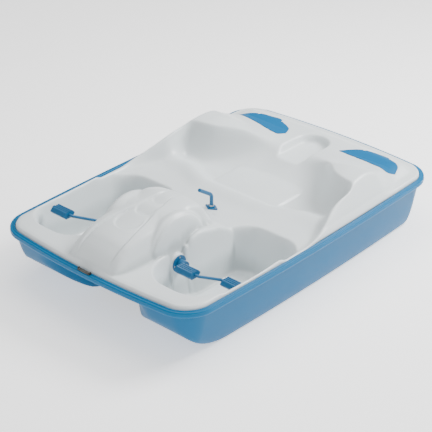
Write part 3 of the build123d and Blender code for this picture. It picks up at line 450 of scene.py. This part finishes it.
def rounded_box(x, y, front_radius, rear_radius):
    """Signed distance to the footwell's plan: a box whose two ends have their own corner radii."""
    half_x = 0.5 * (WELL_OUTER - WELL_INNER)
    half_y = 0.5 * (WELL_REAR - WELL_FRONT)
    u = np.abs(np.abs(x) - 0.5 * (WELL_OUTER + WELL_INNER))
    v = y - 0.5 * (WELL_REAR + WELL_FRONT)
    radius = np.where(v < 0, front_radius, rear_radius)
    a = u - half_x + radius
    b = np.abs(v) - half_y + radius
    return np.minimum(np.maximum(a, b), 0) + np.hypot(np.maximum(a, 0), np.maximum(b, 0)) - radius


def deck_top(x, y, sizes):
    """Deck without its hollows: border, rear deck, and seat backs that lean in from the gunwale."""
    wide = np.abs(x)
    border = sizes.border_height
    ridge = border + (sizes.shoulder_height - border) * through(y, RIDGE_Y, RIDGE_SHARE)
    middle = border + (sizes.rear_height - border) * step(y, 0.40, 0.60)
    height = middle + (ridge - middle) * step(wide, 0.04, 0.56)
    astern = step(y, 0.62, 0.85)
    slope = LEAN_SLOPE - LEAN_SLOPE_LOST_ASTERN * astern
    lean = border + slope * above(inside(x, y) - LEAN_START - LEAN_SETBACK_ASTERN * astern, 0.010)
    return soft_min(height, lean, 0.03)


def seat_hollow(x, y, sizes):
    """Bench: a front roll, a dip behind it, and backs and sides that rise from the dip's edge."""
    wide = np.abs(x)
    roll_y = ROLL_Y + ROLL_SWEEP * step(wide, 0.22, 0.52)
    pan = sizes.seat_height + ROLL_HEIGHT * bump(y - roll_y, ROLL_WIDTH)
    pan = pan - sizes.seat_dip * step(y, roll_y + 0.01, roll_y + 0.15)
    foot_y = BACK_FOOT_Y - BACK_SWEEP * step(wide, 0.30, 0.60)
    reach = BACK_REACH - BACK_REACH_LOST * step(wide, 0.10, 0.50)
    side_x = SEAT_SIDE_X - SEAT_SIDE_TAPER * step(y, -0.15, 0.35)
    back = BACK_RISE * (above(y - foot_y, 0.02) / reach) ** 2
    side = SEAT_SIDE_CURVE * above(wide - side_x, 0.02) ** 2
    front = SEAT_FRONT_RISE * step(-y, 0.30, 0.62)
    return pan + np.hypot(back, side) + front


def footwell(x, y, sizes):
    """Footwell: flat floor that climbs to the bow, and walls with a few degrees of draft."""
    rise = HEEL_RISE * step(-y, 0.56, 0.80) + TOE_RISE * step(-y, 0.76, 1.03)
    steep = WALL_SLOPE - WALL_SLOPE_LOST_ASTERN * step(y, -0.34, -0.14)
    wall = steep * above(
        rounded_box(x, y, WELL_FRONT_RADIUS, WELL_REAR_RADIUS) + WELL_DEPTH / steep, 0.016)
    return sizes.well_floor + rise + wall


def round_top(run, radius):
    """Height of a half round over its middle; outside it, a fall that leaves the deck alone."""
    return np.sqrt(np.maximum(radius ** 2 - run ** 2, 0.0)) - 4.0 * np.maximum(np.abs(run) - radius, 0.0)


def housing(x, y):
    """Wheel housing: a long crowned hump, with a round cheek each side above the wheel."""
    wide = np.abs(x)
    strip = STRIP_HALF - STRIP_TAPER * step(y, -1.00, -0.45)
    hump = through(y, SPINE_Y, SPINE_Z) - 0.5 * x * x
    hump = hump - 3.2 * above(wide - 0.178, 0.012) - 7.0 * above(wide - 0.226, 0.006)
    along = step(y, -1.12, -1.02) * step(-y, 0.40, 0.52)
    hump = hump + along * STRIP_STEP * step(wide, strip - 0.004, strip + 0.009)
    hump = hump - along * STRIP_GROOVE * bump(wide - strip, 0.005)
    arch = CHEEK_Z + round_top(y - CHEEK_Y, CHEEK_RADIUS)
    arch = arch - WALL_SLOPE * above(wide - CHEEK_OUTER, 0.010) - 0.55 * above(0.190 - wide, 0.03)
    face = CHEEK_Z + round_top(y - CHEEK_Y, CHEEK_RADIUS - CHEEK_LIP)
    face = face - WALL_SLOPE * above(wide - CHEEK_OUTER - LIP_OUT, 0.003)
    return np.maximum(soft_max(hump, arch, 0.012), face)


def wall_pads(x, y):
    """Pads on the footwell's inner wall: one for the crank bearing, and one behind it."""
    wide = np.abs(x)
    face = WALL_SLOPE * above(wide - PAD_X, 0.004)
    from_axle = BOSS_RADIUS ** 2 - (y - AXLE.y) ** 2
    bearing = np.where(from_axle > 0, AXLE.z + np.sqrt(np.maximum(from_axle, 0)), 0.0)
    return np.maximum(bearing, through(y, PAD_Y, PAD_Z)) - face


def cup_recess(x, y, sizes):
    """Three overlapping round recesses on the housing, each smaller towards the stern."""
    depth = 0.0
    for centre_y, radius, share in CUPS:
        away = np.hypot(x, y - centre_y)
        fade = step(centre_y - y, -0.9 * radius, 0.75 * radius)
        depth = np.maximum(depth, share * fade * (1 - step(away, radius - 0.002, radius + 0.003)))
    return sizes.cup_depth * depth


def scoop(x, y):
    """Hollow behind the middle seat, open to the front, with a round rear end."""
    back = np.hypot(x, np.maximum(y - SCOOP_Y, 0)) - SCOOP_RADIUS
    floor = SCOOP_FLOOR + 2.2 * above(back + 0.020, 0.015)
    return floor + 0.6 * above(0.62 - y, 0.02)


def inlay_place(x, y):
    """Along an inlay, 0 at its starboard tip and 1 at its round end, and metres abaft the tip."""
    along = (x - np.where(x < 0, STARBOARD_TIP[0], PORT_TIP[0])) / INLAY_LENGTH
    return along, y - np.where(x < 0, STARBOARD_TIP[1], PORT_TIP[1])


def inlay_edges(along):
    """Near and far edge of an inlay: a leaf whose far edge is broken by two small teeth."""
    t = np.clip(along, 0.0, 1.0)
    near = through(t, NEAR_SHARE, NEAR_EDGE)
    far = through(t, FAR_SHARE, FAR_EDGE)
    for place in TOOTH_PLACES:
        tooth = step(t, place - 0.022, place - 0.012) - step(t, place + 0.006, place + 0.016)
        far = far - TOOTH_DEPTH * tooth
    return near, far


def tray(x, y):
    """Share of the tray's depth: 1 under an inlay, falling over a few millimetres at its edge."""
    along, across = inlay_place(x, y)
    near, far = inlay_edges(along)
    outside = np.maximum(near - across, across - far)
    outside = np.maximum(outside, np.maximum(-along, along - 1.0) * INLAY_LENGTH)
    return 1.0 - step(outside, 0.002, 0.007)


def deck_plain(x, y, sizes):
    """Deck height without the inlay trays."""
    border_edge = inside(x, y) - DECK_INSET
    top = deck_top(x, y, sizes)
    body = soft_min(top, seat_hollow(x, y, sizes), 0.035)
    body = soft_min(body, scoop(x, y), 0.02)
    body = soft_min(body, footwell(x, y, sizes), 0.07)
    body = soft_max(body, housing(x, y) - cup_recess(x, y, sizes), 0.010)
    body = soft_max(body, wall_pads(x, y), 0.006)
    slot_end = np.maximum(np.abs(x - SLOT_X) - SLOT_HALF, 0)
    slot = np.hypot(slot_end, y + SLOT_Y + SLOT_TURN * (x - SLOT_X))
    body = body - SLOT_DEPTH * (1 - step(slot, 0.004, 0.008))
    roll = np.clip(border_edge / EDGE_ROLL, 0.0, 1.0)
    edge = sizes.border_height - EDGE_DROP + EDGE_DROP * np.sqrt(np.clip(1 - (1 - roll) ** 2, 0, 1))
    lowered = body - (sizes.border_height - edge)
    return lowered - EDGE_GROOVE * bump(border_edge - 0.027, 0.004)


def deck_height(x, y, sizes):
    """Deck height with the trays sunk into it."""
    return deck_plain(x, y, sizes) - TRAY_DEPTH * tray(x, y)


# ---- hull surface ------------------------------------------------------------------------------
HULL_TOP = 0.309
HULL_INSET = 0.034
FLOAT_SLOPE = 6.4
BOW_START = -0.720
BOW_RADIUS = 0.431
STERN_FOOT = 1.025
STERN_SLOPE = 2.73
TUNNEL_HALF = 0.182
TUNNEL_ROOF = 0.215
MOUTH_HALF = 0.350
MOUTH_ROOF = 0.290
DOME_HALF = 0.148
DOME_RADIUS = 0.216


def hull_bottom(x, y):
    """Underside: two flat floats with leaning sides, a round bow, a raked stern, a tunnel that
    opens out at the bow, and the round dome over the paddle wheel."""
    wide = np.abs(x)
    side = HULL_TOP - FLOAT_SLOPE * (inside(x, y) - HULL_INSET)
    ahead = np.minimum(above(BOW_START - y, 0.01) - 0.005, 0.97 * BOW_RADIUS)
    keel = BOW_RADIUS - np.sqrt(BOW_RADIUS ** 2 - ahead ** 2)
    keel = keel + STERN_SLOPE * np.maximum(above(y - STERN_FOOT, 0.004) - 0.002, 0.0)
    body = soft_max(keel, side, 0.20)
    mouth = step(-y, 0.90, 1.125)
    half = TUNNEL_HALF + (MOUTH_HALF - TUNNEL_HALF) * mouth
    roof = TUNNEL_ROOF + (MOUTH_ROOF - TUNNEL_ROOF) * mouth
    steep = 9.0 - 7.9 * mouth
    body = soft_max(body, roof - steep * above(wide - half, 0.012), 0.05 + 0.07 * mouth)
    dome = AXLE.z + np.sqrt(np.maximum(DOME_RADIUS ** 2 - (y - AXLE.y) ** 2, 0.0))
    dome = np.where(np.abs(y - AXLE.y) < DOME_RADIUS, dome, 0.0) - 14.0 * above(wide - DOME_HALF, 0.003)
    return np.maximum(np.minimum(body, HULL_TOP), dome)


# ---- meshes -----------------------------------------------------------------------------------
def make_piece(name, points, faces, body, material):
    """A mesh object at the origin that rides on a body and takes a material slot's finish."""
    mesh = bpy.data.meshes.new(name)
    mesh.from_pydata(points.reshape(-1, 3).tolist(), [], faces)
    mesh.update()
    mesh.polygons.foreach_set("use_smooth", np.full(len(mesh.polygons), True))
    if mesh.validate():
        raise RuntimeError(f"{name} has faulty faces")
    piece = bpy.data.objects.new(name, mesh)
    bpy.context.scene.collection.objects.link(piece)
    mesh.materials.append(material)
    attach(piece, body)
    return piece


def grid_faces(rows, columns, start=0, wrap_rows=False, wrap_columns=False):
    """Quads of a grid of points, row by row, joined round either way if asked."""
    r = np.arange(rows if wrap_rows else rows - 1)
    c = np.arange(columns if wrap_columns else columns - 1)
    r, c = np.meshgrid(r, c, indexing="ij")
    r2 = (r + 1) % rows
    c2 = (c + 1) % columns
    quads = np.stack([r * columns + c, r * columns + c2, r2 * columns + c2, r2 * columns + c], -1)
    return quads.reshape(-1, 4) + start


def rim(rows, columns):
    """Indices of the points on a grid's edge, once round."""
    return np.concatenate([
        np.arange(columns - 1), (np.arange(rows - 1) + 1) * columns - 1,
        rows * columns - 1 - np.arange(columns - 1), (rows - 1 - np.arange(rows - 1)) * columns])


def swept(section, path, normals):
    """A closed section carried round a closed level path: each section point lies so far out
    along the path's normal and so high, and both directions join up."""
    reach = section[None, :, 0:1]
    flat = path[:, None, :] + normals[:, None, :] * reach
    rise = np.broadcast_to(section[None, :, 1:2], flat.shape[:2] + (1,))
    points = np.concatenate([flat, rise], 2)
    faces = grid_faces(len(path), len(section), wrap_rows=True, wrap_columns=True)
    return points, faces[:, ::-1].tolist()


def crowded(u, density):
    """Moves each line of u, along its last axis, so that equal steps hold equal density."""
    total = np.cumsum(0.5 * (density[:, 1:] + density[:, :-1]) * np.diff(u, axis=1), axis=1)
    total = np.concatenate([np.zeros((len(u), 1)), total], 1)
    share = total / total[:, -1:]
    even = np.linspace(0, 1, u.shape[1])
    return np.stack([np.interp(even, share[i], u[i]) for i in range(len(u))])


def blurred(field, reach):
    """Running mean over neighbouring lines, first axis, with the end lines repeated."""
    padded = np.pad(field, ((reach, reach), (0, 0)), mode="edge")
    sums = np.cumsum(np.concatenate([np.zeros((1, field.shape[1])), padded]), axis=0)
    return (sums[2 * reach + 1:] - sums[:-2 * reach - 1]) / (2 * reach + 1)


def plan(a, b, inset):
    """Square parameters -1..1 to places on deck: straight in the middle, the outline at the edge."""
    wide = HALF_WIDTH - inset
    long = HALF_LENGTH - inset
    x = a * wide
    y = b * long
    angle = np.arctan2(y, x)
    to_box = np.maximum(np.abs(np.cos(angle)) / wide, np.abs(np.sin(angle)) / long)
    box_reach = 1.0 / np.maximum(to_box, 1e-9)
    share = outline_reach(angle.ravel(), inset).reshape(angle.shape) / box_reach
    edge = step(np.maximum(np.abs(a), np.abs(b)), 0.62, 1.0)
    factor = 1.0 + edge * (share - 1.0)
    return x * factor, y * factor


def slope_of(surface, x, y):
    """Steepness of the surface, by central differences a millimetre each way."""
    h = 0.001
    gx = (surface(x + h, y) - surface(x - h, y)) / (2 * h)
    gy = (surface(x, y + h) - surface(x, y - h)) / (2 * h)
    return gx, gy


SLOPE_WEIGHT = 0.55
SLOPE_CAP = 6.0


def deck_grid(surface, across, along, inset):
    """Grid of points whose lines crowd together where the surface is steep, on the housing and
    on the rear deck."""
    a, b = np.meshgrid(np.linspace(-1, 1, across), np.linspace(-1, 1, along), indexing="xy")
    for _ in range(2):
        x, y = plan(a, b, inset)
        gx, gy = slope_of(surface, x, y)
        detail = 0.9 * (np.abs(x) < 0.24) * (y < -0.38) + 0.5 * (y > 0.7)
        density = 1.0 + SLOPE_WEIGHT * np.minimum(np.abs(gx), SLOPE_CAP) + detail
        a = blurred(crowded(a, blurred(density, 4)), 3)
        x, y = plan(a, b, inset)
        gx, gy = slope_of(surface, x, y)
        density = 1.0 + SLOPE_WEIGHT * np.minimum(np.abs(gy), SLOPE_CAP) + 0.4 * (y < -0.38)
        b = blurred(crowded(b.T.copy(), blurred(density.T.copy(), 4)), 3).T
    return plan(a, b, inset)


def shell_of(surface, x, y, wall):
    """Closed shell: the surface on top, its offset at half the detail below, joined at the rim."""
    z = surface(x, y)
    gx, gy = slope_of(surface, x, y)
    size = np.sqrt(gx * gx + gy * gy + 1)
    normal = np.stack([-gx, -gy, np.ones_like(gx)], -1) / size[..., None]
    top = np.stack([x, y, z], -1)
    under = (top - wall * normal)[::2, ::2]
    faces = [grid_faces(*x.shape), grid_faces(*under.shape[:2], x.size)[:, ::-1]]
    ring = rim(*x.shape)
    first = ring[0::2]
    middle = ring[1::2]
    last = np.roll(first, -1)
    low = rim(*under.shape[:2]) + x.size
    low_next = np.roll(low, -1)
    skirt = np.concatenate([
        np.stack([first, low, middle], 1), np.stack([middle, low, low_next], 1),
        np.stack([middle, low_next, last], 1)])
    points = np.concatenate([top.reshape(-1, 3), under.reshape(-1, 3)])
    return points, [*faces[0].tolist(), *faces[1].tolist(), *skirt.tolist()]


# ---- operators --------------------------------------------------------------------------------
class BOAT_OT_deck(Operator):
    """Moulded deck: one sheet with the bench, footwells, wheel housing and rear deck"""

    bl_idname = "boat.deck"
    bl_label = "Deck"

    def execute(self, context):
        sizes = context.scene.boat_sizes

        def surface(x, y):
            return deck_height(x, y, sizes)

        x, y = deck_grid(surface, 241, 309, DECK_INSET)
        points, faces = shell_of(surface, x, y, sizes.shell_wall)
        # The deck's colour takes painted shade from the attribute worked out below.
        plastic = moulded_plastic(
            "deck_plastic", context.scene.boat_colours.deck, 0.36, 0.06, 0.12, "hollow")
        deck = make_piece("deck_moulding", points, faces, "boat", plastic)
        # Painted shade: how far each point lies below the mean height around it, so creases, footwell walls and
        # recesses get a darker colour; none next to the gunwale.
        reach = 0.022
        painted_shade_full_depth = 0.020
        px = points[:, 0]
        py = points[:, 1]
        around = (surface(px + reach, py) + surface(px - reach, py)
                  + surface(px, py + reach) + surface(px, py - reach)) / 4
        hollow = np.clip((around - surface(px, py)) / painted_shade_full_depth, 0.0, 1.0)
        hollow = hollow * step(inside(px, py), 0.05, 0.08)
        deck.data.attributes.new("hollow", "FLOAT", "POINT").data.foreach_set(
            "value", hollow.astype(np.float32))
        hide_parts("deck_shell")
        return {"FINISHED"}


class BOAT_OT_hull(Operator):
    """Hull: one blue sheet with two floats, the tunnel between them and the wheel dome"""

    bl_idname = "boat.hull"
    bl_label = "Hull"

    def execute(self, context):
        x, y = deck_grid(hull_bottom, 201, 261, HULL_INSET)
        points, faces = shell_of(hull_bottom, x, y, -context.scene.boat_sizes.shell_wall)
        plastic = moulded_plastic("hull_plastic", context.scene.boat_colours.hull, 0.40, 0.06, shine=0.18)
        turned = [face[::-1] for face in faces]
        hull = make_piece("hull_moulding", points, turned, "boat", plastic)
        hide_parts("hull_shell")
        return {"FINISHED"}


class BOAT_OT_gunwale(Operator):
    """Gunwale band: a rolled vinyl section with two beads, carried round the outline"""

    bl_idname = "boat.gunwale"
    bl_label = "Gunwale"

    def execute(self, context):
        path, normals = outline_points(0.0, 640)
        middle = 0.5 * (RIM_LOW + RIM_TOP)
        half = 0.5 * (RIM_TOP - RIM_LOW)
        turn = np.linspace(-0.5 * np.pi, 0.5 * np.pi, 15)
        belly = np.stack([-0.010 + 0.010 * np.cos(turn) ** 0.6, middle + (half - 0.002) * np.sin(turn)], 1)
        belly[:, 0] = belly[:, 0] - 0.0022 * bump(belly[:, 1] - middle - 0.004, 0.0028)
        lip_turn = np.linspace(0.0, np.pi, 7)
        lip = np.stack([-0.026 + 0.006 * np.cos(lip_turn), RIM_TOP - 0.0035 + 0.0035 * np.sin(lip_turn)], 1)
        inner = np.array([[-0.032, RIM_TOP - 0.008], [-0.0335, RIM_LOW + 0.020], [-0.0335, RIM_LOW + 0.003]])
        foot = np.array([[-0.030, RIM_LOW + 0.0005], [-0.018, RIM_LOW]])
        section = np.concatenate([belly, lip, inner, foot])
        points, faces = swept(section, path, normals)
        colours = context.scene.boat_colours
        vinyl = moulded_plastic("trim_vinyl", scaled(colours.hull, 1.15), 0.38, 0.05, shine=0.18)
        band = make_piece("gunwale_band", points, faces, "boat", vinyl)
        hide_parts("gunwale_trim")
        return {"FINISHED"}


class BOAT_OT_inlays(Operator):
    """Two leaf-shaped sheets in the trays behind the seats"""

    bl_idname = "boat.inlays"
    bl_label = "Inlays"

    def execute(self, context):
        sizes = context.scene.boat_sizes
        colours = context.scene.boat_colours
        sheet = moulded_plastic("inlay_sheet", colours.inlay, 0.5, 0.05, shine=0.12)
        along_count = 161
        across_count = 25
        for tip, name in ((PORT_TIP, "port"), (STARBOARD_TIP, "starboard")):
            turn = np.linspace(0.0, np.pi, along_count)
            along = (0.5 - 0.5 * np.cos(turn))[:, None]
            near, far = inlay_edges(along)
            across = near + (far - near) * np.linspace(0, 1, across_count)[None, :]
            x = tip[0] + np.broadcast_to(along, across.shape) * INLAY_LENGTH
            y = tip[1] + across
            z = deck_plain(x, y, sizes) + SHEET_PROUD
            top = np.stack([x, y, z], -1)
            low = top - np.array([0.0, 0.0, SHEET_WALL])
            ring = rim(*z.shape)
            after = np.roll(ring, -1)
            skirt = np.stack([ring, after, after + z.size, ring + z.size], 1)
            faces = np.concatenate(
                [grid_faces(*z.shape)[:, ::-1], grid_faces(*z.shape, z.size), skirt]).tolist()
            points = np.concatenate([top.reshape(-1, 3), low.reshape(-1, 3)])
            piece = make_piece("inlay_sheet_" + name, points, faces, "boat", sheet)
            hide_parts("deck_inlay_" + name)
        return {"FINISHED"}


class BOAT_OT_studs(Operator):
    """Grip studs on the footwell floors: low domes, two columns in each well"""

    bl_idname = "boat.studs"
    bl_label = "Grip studs"

    def execute(self, context):
        sizes = context.scene.boat_sizes
        x, y = np.meshgrid(STUD_X + STUD_PITCH * np.array([-0.5, 0.5]),
                           STUD_Y + STUD_PITCH * (np.arange(STUD_COUNT) - (STUD_COUNT - 1) / 2))
        x = np.concatenate([x.ravel(), -x.ravel()])
        y = np.concatenate([y.ravel(), y.ravel()])
        base = deck_height(x, y, sizes) - STUD_SINK
        # A dome's radius goes as the cosine and its height as the sine of the turn from its foot.
        full = STUD_HEIGHT + STUD_SINK
        turn = np.linspace(0.0, 0.5 * np.pi, STUD_RINGS)[:-1]
        radius = STUD_RADIUS * np.cos(turn)[:, None]
        rise = full * np.sin(turn)[:, None]
        round_angle = np.linspace(0.0, 2 * np.pi, STUD_SIDES, endpoint=False)
        px = radius * np.cos(round_angle)
        py = radius * np.sin(round_angle)
        body = np.stack([px, py, np.broadcast_to(rise, px.shape)], -1).reshape(-1, 3)
        one = np.concatenate([body, [[0.0, 0.0, 0.0], [0.0, 0.0, full]]])
        rings = STUD_RINGS - 1
        step_on = (np.arange(STUD_SIDES) + 1) % STUD_SIDES
        low = np.stack([np.full(STUD_SIDES, rings * STUD_SIDES), step_on, np.arange(STUD_SIDES)], 1)
        crown = (rings - 1) * STUD_SIDES
        high = np.stack([np.full(STUD_SIDES, rings * STUD_SIDES + 1), crown + np.arange(STUD_SIDES),
                         crown + step_on], 1)
        quads = grid_faces(rings, STUD_SIDES, wrap_columns=True)
        points = np.concatenate([one + np.array([a, b, c]) for a, b, c in zip(x, y, base)])
        faces = []
        for start in range(0, len(x) * len(one), len(one)):
            faces += (quads + start).tolist() + (low + start).tolist() + (high + start).tolist()
        colour = scaled(context.scene.boat_colours.deck, 0.8)
        plastic = moulded_plastic("stud_plastic", colour, 0.4, 0.06)
        make_piece("floor_studs", points, faces, "boat", plastic)
        return {"FINISHED"}


class BOAT_OT_fittings(Operator):
    """Finishes of the CAD pieces that stay as they are: pedals, cranks, wheel, steering and foam"""

    bl_idname = "boat.fittings"
    bl_label = "Fittings"

    def execute(self, context):
        colours = context.scene.boat_colours
        finishes = {
            "blue_nylon": ribbed_plastic("blue_nylon", colours.pedal),
            "bush_nylon": ribbed_plastic("bush_nylon", (0.72, 0.72, 0.69)),
            "painted_rod": ribbed_plastic("painted_rod", scaled(colours.pedal, 0.95)),
            "lever_grip": ribbed_plastic("lever_grip", colours.pedal),
            "pedal_plastic": ribbed_plastic("pedal_plastic", colours.pedal),
            "steel": metal("steel", (0.62, 0.63, 0.64), 0.28),
            "dark_steel": metal("dark_steel", (0.12, 0.12, 0.11), 0.4),
            "foam": bead_foam("foam"),
            "wheel_plastic": ribbed_plastic("wheel_plastic", (0.02, 0.022, 0.025)),
            "rudder_plastic": ribbed_plastic("rudder_plastic", (0.02, 0.022, 0.025)),
            "plug_rubber": ribbed_plastic("plug_rubber", (0.015, 0.015, 0.015)),
        }
        for row in frame["record"]["subparts"]:
            node = NODES[row["node"]]
            if node.hide_render:
                continue
            material = finishes[row["material_slot"]]
            for place in node.material_slots:
                place.material = material
        return {"FINISHED"}


class BOAT_OT_stage(Operator):
    """Pale floor, soft studio light and the camera"""

    bl_idname = "boat.stage"
    bl_label = "Stage"

    def execute(self, context):
        span = 60.0
        mesh = bpy.data.meshes.new("floor")
        mesh.from_pydata(
            [(-span, -span, 0), (span, -span, 0), (span, span, 0), (-span, span, 0)], [], [(0, 1, 2, 3)])
        floor = bpy.data.objects.new("floor", mesh)
        bpy.context.scene.collection.objects.link(floor)
        mesh.materials.append(Paint(
            "floor", Base_Color=(0.95, 0.95, 0.95), Roughness=0.9,
            Emission_Color=(1.0, 1.0, 1.0), Emission_Strength=0.85).material)

        world = bpy.data.worlds.new("studio")
        world.use_nodes = True
        world.node_tree.nodes["Background"].inputs[0].default_value = (1.0, 1.0, 1.0, 1.0)
        world.node_tree.nodes["Background"].inputs[1].default_value = 0.50
        bpy.context.scene.world = world

        middle = 0.5 * (BOAT_LOW + BOAT_HIGH)
        for name, place, power, size in (
                ("key", (2.2, 3.6, 4.2), 520.0, 2.4), ("fill", (3.5, -3.0, 3.0), 55.0, 4.0),
                ("top", (-1.0, 0.5, 5.0), 150.0, 4.0)):
            data = bpy.data.lights.new(name, "AREA")
            data.energy = power
            data.size = size
            lamp = bpy.data.objects.new(name, data)
            bpy.context.scene.collection.objects.link(lamp)
            lamp.location = place
            lamp.rotation_euler = (middle - Vector(place)).to_track_quat("-Z", "Y").to_euler()

        azimuth = math.radians(41.99)
        elevation = math.radians(29.32)
        distance = 8.5
        target = Vector((0.075, -0.153, 0.305))
        back = Vector((math.sin(azimuth) * math.cos(elevation),
                       -math.cos(azimuth) * math.cos(elevation), math.sin(elevation)))
        data = bpy.data.cameras.new("camera")
        data.sensor_width = 36.0
        data.lens = 118.74
        data.clip_end = 200.0
        camera = bpy.data.objects.new("camera", data)
        bpy.context.scene.collection.objects.link(camera)
        camera.location = target + distance * back
        camera.rotation_euler = (-back).to_track_quat("-Z", "Y").to_euler()
        bpy.context.scene.camera = camera
        return {"FINISHED"}


OPERATORS = (BOAT_OT_deck, BOAT_OT_hull, BOAT_OT_gunwale, BOAT_OT_inlays, BOAT_OT_studs,
             BOAT_OT_fittings, BOAT_OT_stage)


class BOAT_PT_panel(Panel):
    """Pieces, sizes and colours of the pedal boat"""

    bl_label = "Pedal Boat"
    bl_idname = "BOAT_PT_panel"
    bl_space_type = "VIEW_3D"
    bl_region_type = "UI"
    bl_category = "Pedal Boat"

    def draw(self, context):
        for group in (context.scene.boat_sizes, context.scene.boat_colours):
            for key in group.__annotations__:
                self.layout.prop(group, key)
        for operator in OPERATORS:
            self.layout.operator(operator.bl_idname)


CLASSES = (BoatSizes, BoatColours, *OPERATORS, BOAT_PT_panel)


def register():
    for cls in CLASSES:
        bpy.utils.register_class(cls)
    bpy.types.Scene.boat_sizes = PointerProperty(type=BoatSizes)
    bpy.types.Scene.boat_colours = PointerProperty(type=BoatColours)


def unregister():
    del bpy.types.Scene.boat_colours
    del bpy.types.Scene.boat_sizes
    for cls in reversed(CLASSES):
        bpy.utils.unregister_class(cls)


def main():
    register()
    bpy.ops.boat.deck()
    bpy.ops.boat.hull()
    bpy.ops.boat.gunwale()
    bpy.ops.boat.inlays()
    bpy.ops.boat.studs()
    bpy.ops.boat.fittings()
    bpy.ops.boat.stage()


if __name__ == "__main__":
    main()
